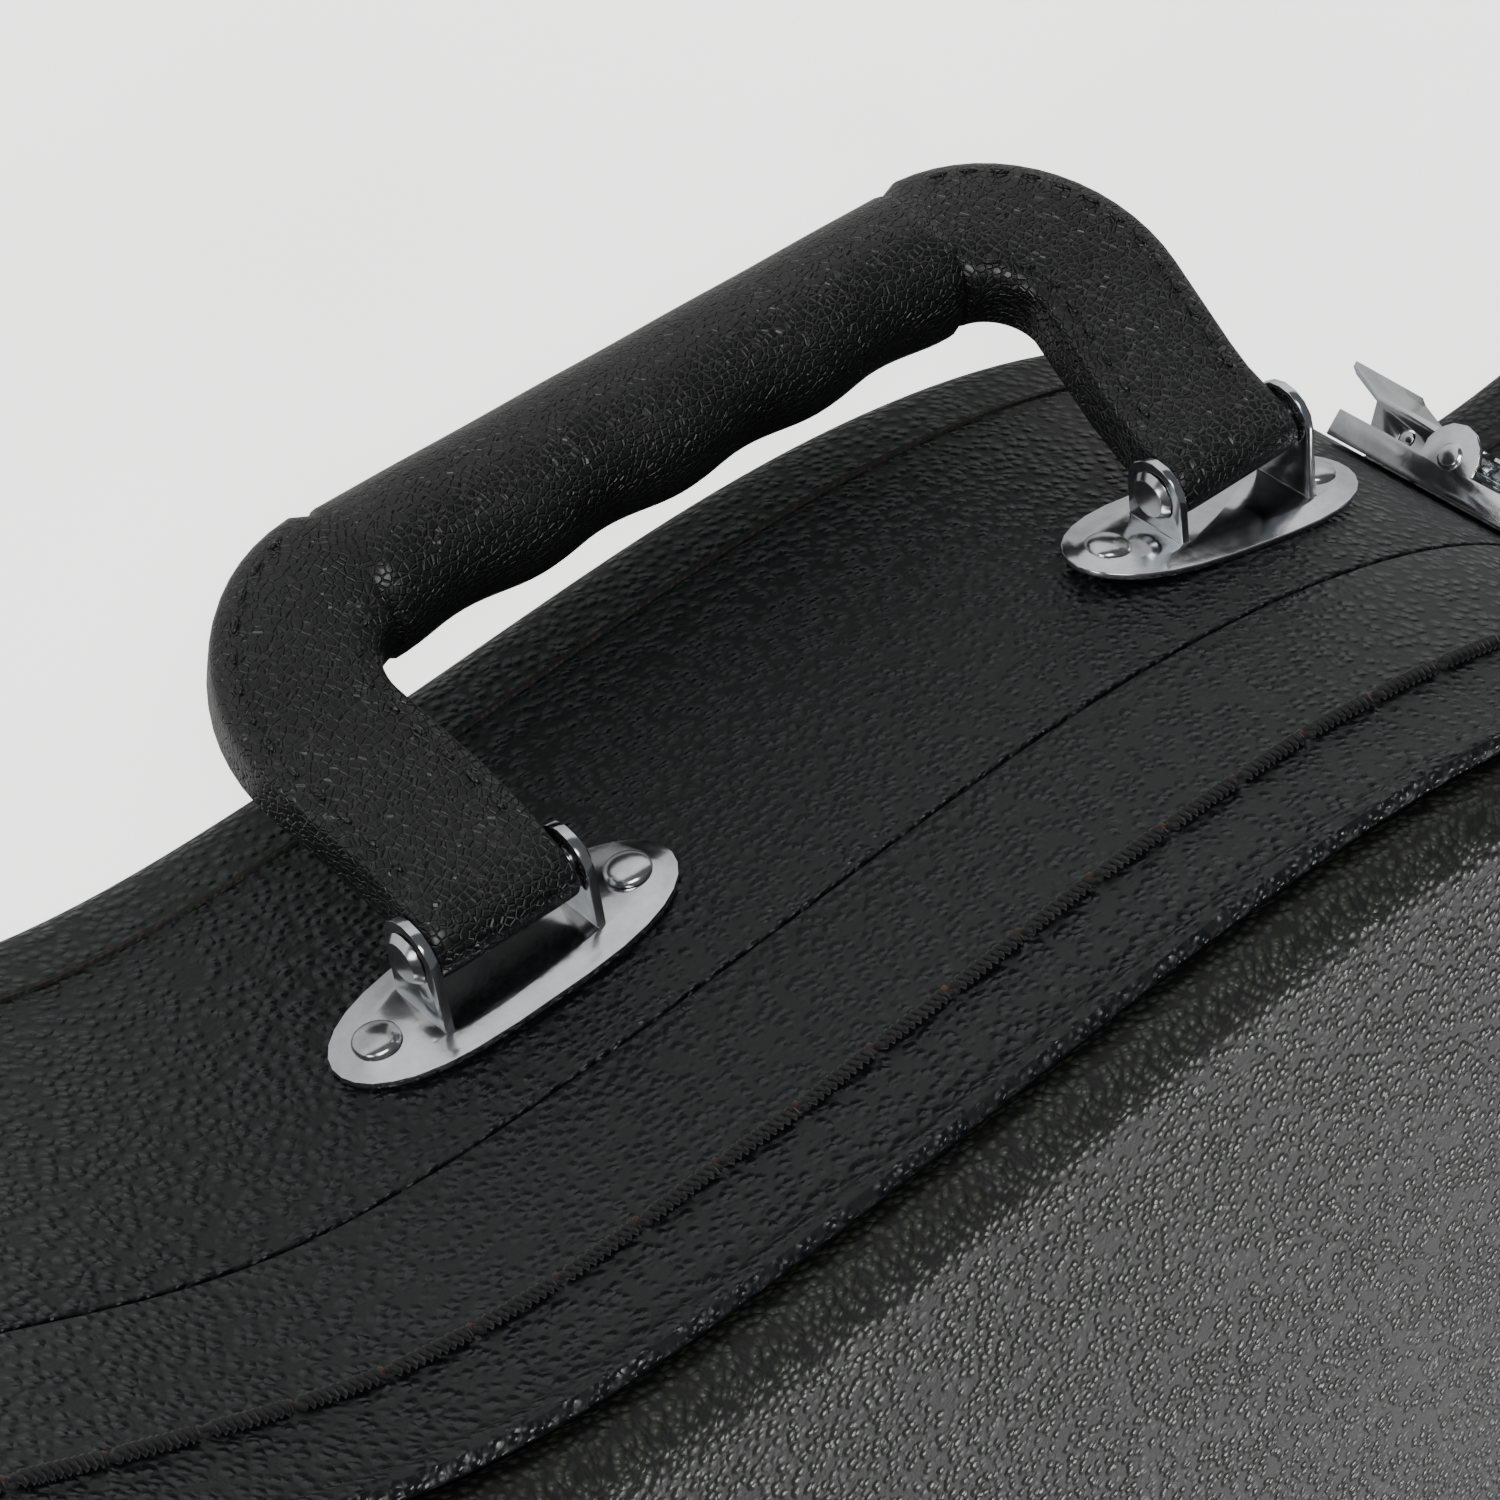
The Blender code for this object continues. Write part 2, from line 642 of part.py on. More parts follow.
def neck_cradle():
    """The padded block under the headstock end of the neck."""
    x = HEAD_SIDE_X + CRADLE_LENGTH
    half = inner_half_width(x, CRADLE_LENGTH) - SEAT_GAP * 2
    centre = CRADLE_HEIGHT + NECK_SCOOP_ABOVE_WALL
    mesh = scooped_wall(2 * half, CRADLE_HEIGHT, CRADLE_LENGTH, NECK_SCOOP_RADIUS, centre)
    put("neck_cradle", mesh, PLUSH, Matrix.Translation((x, 0, 0)))


def boat_ring(inset, z):
    """The bracket plate's outline: flat-sided in the middle and round at the ends."""
    a, b = BRACKET_LENGTH / 2 - inset, BRACKET_WIDTH / 2 - inset
    points = []
    for i in range(BRACKET_SIDES):
        turn = 2 * math.pi * (i + 0.5) / BRACKET_SIDES
        c, s = math.cos(turn), math.sin(turn)
        points.append(Vector((a * math.copysign(abs(c) ** (2 / 3), c), b * s, z)))
    return points


def ear_outline(plate_z):
    """Side view of an ear, round about the pin, in (width, height) with the pivot at the origin."""
    half = EAR_WIDTH / 2
    top = arc((0, 0), half, 0, 180, 8)
    return [(half, plate_z), *top, (-half, plate_z)]


def bracket(name, u, axis_turn):
    """A handle bracket: the plate against the wall, with two ears square to the handle's axis."""
    frame = wall_frame(u, BRACKET_Z, BRACKET_LENGTH)
    slope = BRACKET_RIM_WIDTH + BRACKET_SLOPE_WIDTH
    rim = BRACKET_RIM_THICKNESS
    rings = [
        boat_ring(BRACKET_RIM_WIDTH, 0), boat_ring(0, 0), boat_ring(0, rim),
        boat_ring(BRACKET_RIM_WIDTH, rim), boat_ring(slope, rim + BRACKET_EMBOSS),
    ]
    turn = frame.inverted() @ axis_turn
    turn.translation = Vector((0, 0, PIVOT_HEIGHT))
    ears = []
    holes = []
    inner = LEG_WIDTH / 2 + LEG_END_GAP
    outline = [(y, z) for y, z in ear_outline(-PIVOT_HEIGHT + BRACKET_RIM_THICKNESS)]
    for side in (-1, 1):
        ear = extruded(outline, "X", side * inner, side * (inner + EAR_THICKNESS))
        foot = [v for v in ear.verts if v.co.z < -EAR_WIDTH / 2]
        ear.transform(turn)
        for vert in foot:
            vert.co += turn.col[2].to_3d() * ((BRACKET_RIM_THICKNESS - vert.co.z) / turn.col[2].z)
        ears.append(ear)
    reach = inner + EAR_THICKNESS + CUT_OVERRUN
    hole = cylinder(EAR_HOLE_RADIUS, (-reach, 0, 0), (reach, 0, 0))
    hole.transform(turn)
    holes.append(hole)
    mesh = combined(name, loft(rings), ears, holes)
    put(name, mesh, CHROME, frame)
    pivot = (frame @ turn).translation
    return frame, pivot


def rivet_profile():
    """A low dome of four rings, base up."""
    rings = []
    for share in (0.0, 0.35, 0.7, 0.92):
        radius = RIVET_HEAD_RADIUS * math.sqrt(1 - share * share)
        z = RIVET_HEAD_HEIGHT * share
        rings.append([
            Vector((radius * math.cos(2 * math.pi * i / SMALL_SIDES), radius * math.sin(2 * math.pi * i / SMALL_SIDES), z))
            for i in range(SMALL_SIDES)
        ])
    return to_mesh(loft(rings), "rivet head")


def section_ring(centre, across, out, width, depth, power):
    """A rounded section: width across, depth along out, squarer as power falls below 1."""
    points = []
    for i in range(GRIP_SIDES):
        turn = 2 * math.pi * (i + 0.5) / GRIP_SIDES
        c, s = math.cos(turn), math.sin(turn)
        a = width / 2 * math.copysign(abs(c) ** power, c)
        b = depth / 2 * math.copysign(abs(s) ** power, s)
        points.append(centre + across * a + out * b)
    return points


def handle_stations(half_span):
    """Sections down one leg and round its corner: x, z, heading, width, thickness, squareness, lean."""
    end = LEG_THICKNESS / 2 * LEG_END_SHARE
    flare = math.radians(LEG_FLARE_DEG)
    stations = []
    for along, deep in ((-1.0, 0.28), (-0.7, 0.62)):
        stations.append((half_span, end * along, 90.0, LEG_WIDTH, LEG_THICKNESS * deep, 0.45, 0.0))
    straight = HANDLE_REACH - HANDLE_CORNER_RADIUS * (1 + math.sin(flare))
    for z in (0.0, LEG_FLARE_START * 0.8):
        stations.append((half_span, z, 90.0, LEG_WIDTH, LEG_THICKNESS * 0.92, 0.4, 0.0))
    heading = 90.0 - LEG_FLARE_DEG
    flared = straight - LEG_FLARE_START
    for share in (0.25, 0.6, 1.0):
        x = half_span + flared * share * math.tan(flare)
        z = LEG_FLARE_START + flared * share
        stations.append((x, z, heading, LEG_WIDTH, LEG_THICKNESS * (0.93 + 0.07 * share), 0.4, 0.0))
    corner_x = half_span + flared * math.tan(flare) - HANDLE_CORNER_RADIUS * math.cos(flare)
    corner_z = HANDLE_REACH - HANDLE_CORNER_RADIUS
    for share in (0.2, 0.4, 0.6, 0.8, 0.95):
        turn = heading + (180.0 - heading) * share
        angle = math.radians(turn)
        x = corner_x + HANDLE_CORNER_RADIUS * math.sin(angle)
        z = corner_z - HANDLE_CORNER_RADIUS * math.cos(angle)
        deep = LEG_THICKNESS * (1.0 + 0.45 * share)
        stations.append((x, z, turn, LEG_WIDTH, deep, 0.4 + 0.35 * share, -GRIP_LEAN * share / 2))
    grip_half = GRIP_LENGTH / 2
    inner = GRIP_THICKNESS - GRIP_STEP * 2
    stations.append((grip_half + GRIP_STEP / 2, HANDLE_REACH, 180.0, GRIP_DEPTH, inner, 0.85, -GRIP_LEAN * 0.8))
    stations.append((grip_half, HANDLE_REACH, 180.0, GRIP_DEPTH + GRIP_STEP, GRIP_THICKNESS, 0.9, -GRIP_LEAN))
    return stations


def handle_rings(half_span):
    """Sections of the moulding from one leg's end to the other's. X runs along the pivot axis and Z out from it."""
    stations = handle_stations(half_span)
    rings = []
    y_axis = Vector((0, 1, 0))
    for x, z, heading, width, deep, power, lean in stations:
        turn = math.radians(heading)
        across = Vector((math.sin(turn), 0, -math.cos(turn)))
        rings.append(section_ring(Vector((x, lean, z)), across, y_axis, width, deep, power))
    grip_half = GRIP_LENGTH / 2
    for i in range(1, GRIP_STEPS):
        x = grip_half - GRIP_LENGTH * i / GRIP_STEPS
        ripple = FINGER_RIPPLE * (1 - math.cos(2 * math.pi * FINGER_WAVES * i / GRIP_STEPS)) / 2
        centre = Vector((x, -GRIP_LEAN, HANDLE_REACH + ripple / 2))
        width = GRIP_DEPTH + GRIP_STEP - ripple
        rings.append(section_ring(centre, Vector((0, 0, 1)), y_axis, width, GRIP_THICKNESS, 0.9))
    for x, z, heading, width, deep, power, lean in reversed(stations):
        turn = math.radians(heading)
        across = Vector((-math.sin(turn), 0, -math.cos(turn)))
        rings.append(section_ring(Vector((-x, lean, z)), across, y_axis, width, deep, power))
    return rings


def handle():
    """Brackets, pins, rivets and the swinging handle. Its local X is the pivot axis and Z points out along the legs."""
    places = {
        "waist_side": OUTLINE.u_at_x(HANDLE_X + BRACKET_TO_WAIST_SIDE),
        "neck_side": OUTLINE.u_at_x(HANDLE_X - BRACKET_TO_NECK_SIDE),
    }
    pivots = {}
    for side, u in places.items():
        frame = wall_frame(u, BRACKET_Z, BRACKET_LENGTH)
        pivots[side] = frame @ Vector((0, 0, PIVOT_HEIGHT))
    axis = (pivots["waist_side"] - pivots["neck_side"]).normalized()
    up = Vector((0, 0, 1))
    out = axis.cross(up)
    upright = Matrix((axis, up, out)).transposed().to_4x4()
    rivet = rivet_profile()
    for side, u in places.items():
        frame, _ = bracket(f"handle_bracket_{side}", u, upright)
        for end, sign in (("a", -1), ("b", 1)):
            lift = BRACKET_RIM_THICKNESS + BRACKET_EMBOSS + SEAT_GAP
            spot = frame @ Matrix.Translation((sign * RIVET_SPACING / 2, 0, lift))
            put(f"bracket_rivet_{side}_{end}", rivet, CHROME, spot)
    middle = (pivots["waist_side"] + pivots["neck_side"]) / 2
    half_span = (pivots["waist_side"] - pivots["neck_side"]).length / 2
    rest = upright @ Matrix.Rotation(math.radians(HANDLE_DROOP_DEG), 4, "X")
    rest.translation = middle
    inner = LEG_WIDTH / 2 + LEG_END_GAP
    holes = []
    for side in (-1, 1):
        reach = inner + CUT_OVERRUN
        x = side * half_span
        holes.append(cylinder(EAR_HOLE_RADIUS, (x - reach, 0, 0), (x + reach, 0, 0)))
    mesh = combined("handle", loft(handle_rings(half_span)), cuts=holes)
    put("handle", mesh, PLASTIC, rest)
    shank = inner + EAR_THICKNESS + SEAT_GAP
    for side, sign in (("waist_side", 1), ("neck_side", -1)):
        heads = []
        for end in (-1, 1):
            start = (end * shank, 0, 0)
            stop = (end * (shank + PIN_HEAD_THICKNESS), 0, 0)
            heads.append(cylinder(PIN_HEAD_RADIUS, start, stop, ROUND_SIDES, PIN_HEAD_RADIUS * 0.75))
        body = cylinder(PIN_RADIUS, (-shank - SEAT_GAP, 0, 0), (shank + SEAT_GAP, 0, 0))
        pin = combined(f"handle_pin_{side}", body, heads)
        place = upright.copy()
        place.translation = middle + axis * sign * half_span
        put(f"handle_pin_{side}", pin, CHROME, place)


def latch_meshes():
    """The latch's four pieces in one frame: X along the wall, Y up from the split and Z out of the wall."""
    half = LATCH_WIDTH / 2
    low = -LATCH_BELOW_SPLIT - LATCH_PLATE_LENGTH
    high = -LATCH_BELOW_SPLIT
    plate = LATCH_PLATE_THICKNESS
    pivot = (-LEVER_PIVOT_BELOW_SPLIT, LEVER_PIVOT_HEIGHT)
    cheek = CHEEK_THICKNESS
    sides = []
    skirt = plate + SKIRT_HEIGHT / 2
    reach = math.degrees(math.asin((pivot[1] - skirt) / CHEEK_RADIUS)) if pivot[1] > skirt else 0.0
    crown = arc(pivot, CHEEK_RADIUS, -reach, 180 + reach, 8)
    profile = [(low, 0), (high, 0), (high, skirt), *crown, (low, skirt)]
    for side in (-1, 1):
        wall = extruded(profile, "X", side * half, side * (half - cheek))
        pin = cylinder(
            LEVER_PIN_RADIUS, (side * (half - cheek / 2), *pivot),
            (side * (half - cheek - RUNNING_GAP - LEVER_THICKNESS), *pivot),
        )
        knob = cylinder(
            CHEEK_RADIUS / 2, (side * (half - cheek / 2), *pivot), (side * (half + cheek / 2), *pivot),
            SMALL_SIDES, CHEEK_RADIUS / 3,
        )
        sides += [wall, pin, knob]
    base = combined("latch body", box((-half, low, 0), (half, high, plate)), sides)

    width = half - cheek - RUNNING_GAP
    flange = LEVER_THICKNESS
    tip = -LEVER_TAB_LENGTH
    top = CHEEK_RADIUS * 0.6
    floor = top - LEVER_FLANGE_DEPTH - LEVER_THICKNESS
    slot = LINK_WIDTH / 2 + RUNNING_GAP * 2
    link_y = -LINK_PIVOT_FROM_LEVER_PIVOT
    cover = [
        (tip * 0.72, top), (tip * 0.95, top + LEVER_TAB_RISE * 0.7), (tip, top + LEVER_TAB_RISE),
        (tip, top + LEVER_TAB_RISE - flange), (tip * 0.95, top + LEVER_TAB_RISE * 0.7 - flange),
        (tip * 0.72, top - flange), (LEVER_ABOVE_PIVOT, top - flange), (LEVER_ABOVE_PIVOT, top),
    ]
    arm = [
        (tip * 0.72, top - flange / 2), (tip * 0.66, floor), (LEVER_PIN_RADIUS * 2, floor),
        (LEVER_ABOVE_PIVOT, top - flange * 1.5), (LEVER_ABOVE_PIVOT, top - flange / 2),
    ]
    arms = [extruded(arm, "X", side * width, side * (width - flange)) for side in (-1, 1)]
    pin_low = -LATCH_WIDTH
    cuts = [
        cylinder(LEVER_PIN_RADIUS + RUNNING_GAP, (pin_low, 0, 0), (-pin_low, 0, 0)),
        cylinder(LINK_PIN_RADIUS + RUNNING_GAP, (pin_low, link_y, floor / 3), (-pin_low, link_y, floor / 3)),
        box((-slot, link_y - LINK_PIN_RADIUS * 2, -CUT_OVERRUN), (slot, LEVER_ABOVE_PIVOT + CUT_OVERRUN, top + CUT_OVERRUN)),
    ]
    lever = combined("latch lever", extruded(cover, "X", -width, width), arms, cuts)

    eye = LINK_PIN_RADIUS + LINK_THICKNESS
    strip_low = -LINK_THICKNESS / 2
    end = LINK_LENGTH
    hook = LINK_THICKNESS
    strip = [
        (0, strip_low), (end - hook, strip_low), (end - hook, strip_low - hook / 3), (end, strip_low - hook / 3),
        (end, strip_low + LINK_THICKNESS), (0, strip_low + LINK_THICKNESS),
    ]
    half_link = LINK_WIDTH / 2
    pin = cylinder(LINK_PIN_RADIUS, (-width, 0, 0), (width, 0, 0))
    barrel = cylinder(eye, (-half_link, 0, 0), (half_link, 0, 0))
    link = combined("latch link", extruded(strip, "X", -half_link, half_link), [barrel, pin])

    half_keeper = KEEPER_WIDTH / 2
    bottom, crown_y = KEEPER_ABOVE_SPLIT, KEEPER_ABOVE_SPLIT + KEEPER_HEIGHT
    thick = KEEPER_THICKNESS
    lip_y = bottom + KEEPER_HEIGHT * 0.75
    keeper = [
        (bottom, 0), (crown_y, 0), (crown_y, thick), (lip_y + thick, thick),
        (lip_y + thick, thick + KEEPER_LIP * 0.8), (lip_y, thick + KEEPER_LIP), (lip_y - thick, thick), (bottom, thick),
    ]
    keeper = to_mesh(extruded(keeper, "X", -half_keeper, half_keeper), "latch keeper")
    return base, lever, link, keeper, Vector((0, *pivot)), Vector((0, link_y, floor / 3))


def latches():
    places = {
        "tail": 0.0,
        "lower_bout": OUTLINE.u_at_x(LOWER_X - LATCH_ON_LOWER_BOUT),
        "shoulder": OUTLINE.u_at_x(UPPER_X - LATCH_ON_SHOULDER),
        "neck": OUTLINE.u_at_x(UPPER_X - LATCH_ON_NECK),
        "head": 0.5,
    }
    base, lever, link, keeper, pivot, link_pivot = latch_meshes()
    for where, u in places.items():
        frame = wall_frame(u, SPLIT_Z, LATCH_WIDTH)
        put(f"latch_body_{where}", base, CHROME, frame)
        on_lever = frame @ Matrix.Translation(pivot)
        put(f"latch_lever_{where}", lever, CHROME, on_lever)
        put(f"latch_link_{where}", link, CHROME, on_lever @ Matrix.Translation(link_pivot))
        put(f"latch_keeper_{where}", keeper, CHROME, frame)


def support_line():
    """The straight line that touches the hinge side at two points and has the whole side within it."""
    places = [p for p in OUTLINE.places() if p > 0.5]
    points = [chord_point(p, OUTLINE.places()) for p in places]
    lower = [p for p in points if p[0] > WAIST_X]
    upper = [p for p in points if p[0] <= WAIST_X]
    best_low, best_up = max(lower, key=lambda p: p[1]), max(upper, key=lambda p: p[1])
    for _ in range(8):
        way = (best_low - best_up) / np.hypot(*(best_low - best_up))
        out = np.array([-way[1], way[0]])
        best_low = max(lower, key=lambda p: float(p @ out))
        best_up = max(upper, key=lambda p: float(p @ out))
    return best_low, best_up


def hinge_frame():
    """The lid's hinge axis: X along it towards the tail and Y out of the case."""
    lower, upper = support_line()
    way = (lower - upper) / np.hypot(*(lower - upper))
    out = np.array([-way[1], way[0]])
    start = upper + way * float((UPPER_X - upper[0]) / way[0]) + out * HINGE_AXIS_OFFSET
    x_axis = Vector((*way, 0))
    y_axis = Vector((*out, 0))
    frame = Matrix((x_axis, y_axis, Vector((0, 0, 1)))).transposed().to_4x4()
    frame.translation = Vector((*start, HINGE_Z))
    return frame, float((LOWER_X - UPPER_X) / way[0])


def leaf(place, seat, side, knuckles, name):
    """A hinge leaf on the wall: a plate in the wall's frame, its knuckles round the axis and a web between."""
    half = HINGE_LEAF_WIDTH / 2
    thick = HINGE_LEAF_THICKNESS
    near = KNUCKLE_RADIUS + SPLIT_GAP
    to_axis = place.inverted() @ seat
    low, high = sorted((side * near, side * (near + HINGE_LEAF_HEIGHT)))
    plate = box((-half, low, 0), (half, high, thick))
    plate.transform(to_axis)
    joins = []
    for start, end in knuckles:
        joins.append(cylinder(KNUCKLE_RADIUS, (start, 0, 0), (end, 0, 0), ROUND_SIDES))
        web = []
        for x in (start, end):
            for y in (0, KNUCKLE_RADIUS * 0.6):
                web.append(Vector((x, y, side * KNUCKLE_RADIUS * 0.2)))
                web.append(Vector((x, y, side * KNUCKLE_RADIUS * 0.9)))
            for height in (near, near + thick * 2):
                for depth in (0, thick):
                    corner = to_axis @ Vector((-x, side * height, depth))
                    web.append(Vector((x, corner.y, corner.z)))
        joins.append(hull(web))
    bore = cylinder(HINGE_PIN_RADIUS + HINGE_PIN_GAP, (-half * 2, 0, 0), (half * 2, 0, 0), ROUND_SIDES)
    return combined(name, plate, joins, [bore])


def hinges():
    axis, span = hinge_frame()
    half = HINGE_LEAF_WIDTH / 2
    third = HINGE_LEAF_WIDTH / 3
    gap = KNUCKLE_GAP
    spots = {"lower_bout": span, "upper_bout": 0.0, "head": -(UPPER_X - NECK_X) - HEAD_HINGE_FROM_NECK}
    for where, along in spots.items():
        place = axis @ Matrix.Translation((along, 0, 0))
        u = 1 - OUTLINE.u_at_x(place.translation.x)
        seat = wall_frame(u, SPLIT_Z, HINGE_LEAF_WIDTH)
        outer = [(-half, -third / 2 - gap / 2), (third / 2 + gap / 2, half)]
        base = leaf(place, seat, -1, outer, f"hinge_base_leaf_{where}")
        put(f"hinge_base_leaf_{where}", base, CHROME, place)
        lid = leaf(place, seat, 1, [(-third / 2 + gap / 2, third / 2 - gap / 2)], f"hinge_lid_leaf_{where}")
        put(f"hinge_lid_leaf_{where}", lid, CHROME, place)
        pin = cylinder(HINGE_PIN_RADIUS, (-half, 0, 0), (half, 0, 0), ROUND_SIDES)
        put(f"hinge_pin_{where}", to_mesh(pin, f"hinge_pin_{where}"), CHROME, place)


def build():
    base_shell()
    lid_shell()
    linings()
    accessory_box()
    neck_cradle()
    handle()
    latches()
    hinges()


build()
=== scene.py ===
# Looks for the acoustic guitar case: grained vinyl over the walls, the thread line, a moulded handle,
# chromed hardware and plush linings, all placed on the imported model.
import json
import math

import bmesh
import bpy
import numpy as np
from mathutils import Matrix, Vector, noise


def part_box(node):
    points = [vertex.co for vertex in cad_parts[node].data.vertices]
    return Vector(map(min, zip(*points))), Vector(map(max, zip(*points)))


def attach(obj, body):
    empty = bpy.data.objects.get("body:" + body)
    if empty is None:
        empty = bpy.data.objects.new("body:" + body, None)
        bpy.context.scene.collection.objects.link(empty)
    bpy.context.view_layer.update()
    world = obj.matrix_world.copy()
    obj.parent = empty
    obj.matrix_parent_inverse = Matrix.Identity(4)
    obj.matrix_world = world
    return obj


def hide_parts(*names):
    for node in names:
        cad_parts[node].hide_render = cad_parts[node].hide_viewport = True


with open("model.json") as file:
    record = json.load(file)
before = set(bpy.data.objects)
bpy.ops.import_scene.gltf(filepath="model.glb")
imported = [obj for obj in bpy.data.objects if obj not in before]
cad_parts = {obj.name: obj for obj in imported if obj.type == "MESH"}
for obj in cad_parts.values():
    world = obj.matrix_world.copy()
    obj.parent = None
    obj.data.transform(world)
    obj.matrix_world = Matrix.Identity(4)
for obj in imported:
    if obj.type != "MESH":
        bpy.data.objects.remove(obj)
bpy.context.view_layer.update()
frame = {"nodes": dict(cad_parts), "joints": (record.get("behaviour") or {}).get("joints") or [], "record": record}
NODES = frame["nodes"]
JOINTS = {joint["name"]: joint for joint in frame["joints"]}

# Sizes that the looks share with the model, in metres
SPLIT_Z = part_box("base_wall")[1].z
LID_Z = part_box("lid_wall")[0].z
LIP_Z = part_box("lid_wall")[1].z
CREST_Z = LIP_Z + 0.010
WALL = 0.006
LOWER_BOUT = 0.2125
ARCH = 0.012
STITCH_Z = SPLIT_Z + 0.0312
SEAM_Z = 0.0198
AROUND = 480

# The outline's stations along the case, each with half the width there
TAIL, LOWER, WAIST, UPPER = (0.5375, 0.0), (0.3875, LOWER_BOUT), (0.1825, 0.160), (0.0875, 0.163)
NECK, HEAD_SIDE, HEAD = (-0.144, 0.0745), (-0.470, 0.0685), (-0.5375, 0.0)
SHOULDER_FOOT = (NECK[0], 0.0735)

# Knots between two stations: the share of the way along, and the share of the change of width
SPAN_SHARES = (
    (TAIL, LOWER, ((0.0, 0.0), (0.10, 0.51), (0.46, 0.865))),
    (LOWER, WAIST, ((0.0, 0.0), (0.459, 0.36), (0.73, 0.885))),
    (WAIST, UPPER, ((0.0, 0.0), (0.5, 0.52))),
    (UPPER, SHOULDER_FOOT, ((0.0, 0.0), (0.33, 0.141), (0.50, 0.407), (0.68, 0.955))),
    (NECK, HEAD_SIDE, ((0.0, 0.0), (0.5, 0.5))),
    (HEAD_SIDE, HEAD, ((0.0, 0.0), (0.70, 0.16), (1.0, 0.60))),
)


def half_knots():
    """The knots on the handle side, from the tail to the head."""
    made = []
    for (x0, w0), (x1, w1), shares in SPAN_SHARES:
        for along, change in shares:
            made.append((x0 + (x1 - x0) * along, w0 + (w1 - w0) * change))
    return made


class Outline:
    """The case's outline from above as one smooth closed curve, sampled at even shares of its knots' path."""

    def __init__(self, count):
        half = [(x, -y) for x, y in half_knots()]
        self.knots = np.array(half + [(HEAD[0], 0.0)] + [(x, -y) for x, y in half[:0:-1]])
        closed = np.vstack([self.knots, self.knots[:1]])
        self.lengths = np.hypot(*np.diff(closed, axis=0).T)
        self.ends = np.concatenate([[0.0], np.cumsum(self.lengths)])
        self.bend = self.second_derivatives()
        self.count = count
        self.points, self.outward = [], []
        for i in range(count):
            point, tangent = self.at(i / count)
            self.points.append(point)
            self.outward.append(np.array([-tangent[1], tangent[0]]))
        self.points, self.outward = np.array(self.points), np.array(self.outward)

    def second_derivatives(self):
        size, h = len(self.knots), self.lengths
        rows, right = np.zeros((size, size)), np.zeros((size, 2))
        for i in range(size):
            before, after = (i - 1) % size, (i + 1) % size
            rows[i, before] += h[before]
            rows[i, i] += 2 * (h[before] + h[i])
            rows[i, after] += h[i]
            rise = (self.knots[after] - self.knots[i]) / h[i]
            fall = (self.knots[i] - self.knots[before]) / h[before]
            right[i] = 6 * (rise - fall)
        return np.linalg.solve(rows, right)

    def at(self, u):
        s = (u % 1.0) * self.ends[-1]
        i = min(int(np.searchsorted(self.ends, s, side="right")) - 1, len(self.knots) - 1)
        j, h = (i + 1) % len(self.knots), self.lengths[i]
        a = (self.ends[i + 1] - s) / h
        b = 1 - a
        first, second = self.bend[i], self.bend[j]
        point = a * self.knots[i] + b * self.knots[j] + ((a**3 - a) * first + (b**3 - b) * second) * h * h / 6
        slope = (self.knots[j] - self.knots[i]) / h
        slope = slope + ((3 * b * b - 1) * second - (3 * a * a - 1) * first) * h / 6
        return point, slope / np.hypot(*slope)

    def place(self, index, inset, z):
        x, y = self.points[index] - self.outward[index] * inset
        return Vector((x, y, z))

    def half_width(self, x):
        side = self.points[: self.count // 2 + 1]
        return float(np.interp(x, side[::-1, 0], -side[::-1, 1]))


OUTLINE = Outline(AROUND)


# Small helpers for meshes

def object_of(name, bm, sharp_deg=38.0):
    """A finished piece at the origin from this bmesh, shaded smooth but for its sharp edges."""
    mesh = bpy.data.meshes.new(name)
    bm.to_mesh(mesh)
    bm.free()
    made = bpy.data.objects.new(name, mesh)
    bpy.context.scene.collection.objects.link(made)
    mesh.shade_smooth()
    mesh.set_sharp_from_angle(angle=math.radians(sharp_deg))
    return made


def extruded_rings(rings, cap=True, closed=False):
    """Starts from the first ring's vertices and extrudes its edges to each ring in turn."""
    bm = bmesh.new()
    order = bm.verts.layers.int.new("order")
    count = len(rings[0])
    loop = [bm.verts.new(p) for p in rings[0]]
    for i, vert in enumerate(loop):
        vert[order] = i
    edges = [bm.edges.new((loop[i], loop[(i + 1) % count])) for i in range(count)]
    first = list(edges)
    if cap and not closed:
        bm.faces.new(loop)
    for ring in rings[1:]:
        made = bmesh.ops.extrude_edge_only(bm, edges=edges)["geom"]
        fresh = {item for item in made if isinstance(item, bmesh.types.BMVert)}
        edges = [item for item in made if isinstance(item, bmesh.types.BMEdge) and set(item.verts) <= fresh]
        for vert in fresh:
            vert.co = ring[vert[order]]
    if closed:
        bmesh.ops.bridge_loops(bm, edges=first + edges)
    elif cap:
        bmesh.ops.edgeloop_fill(bm, edges=edges)
    bmesh.ops.recalc_face_normals(bm, faces=bm.faces)
    return bm


def carried(name, section, closed=True, sharp_deg=38.0):
    """A section of (inset, z) points carried round the case."""
    rings = [[OUTLINE.place(i, inset, z) for i in range(AROUND)] for inset, z in section]
    return object_of(name, extruded_rings(rings, cap=False, closed=closed), sharp_deg)


def arc(centre, radius, start_deg, end_deg, steps):
    turns = [math.radians(start_deg + (end_deg - start_deg) * i / steps) for i in range(steps + 1)]
    return [(centre[0] + radius * math.cos(t), centre[1] + radius * math.sin(t)) for t in turns]


def applied(piece):
    """The piece with its modifiers made part of its mesh."""
    bpy.context.view_layer.update()
    graph = bpy.context.evaluated_depsgraph_get()
    mesh = bpy.data.meshes.new_from_object(piece.evaluated_get(graph))
    piece.modifiers.clear()
    old = piece.data
    piece.data = mesh
    bpy.data.meshes.remove(old)
    return piece


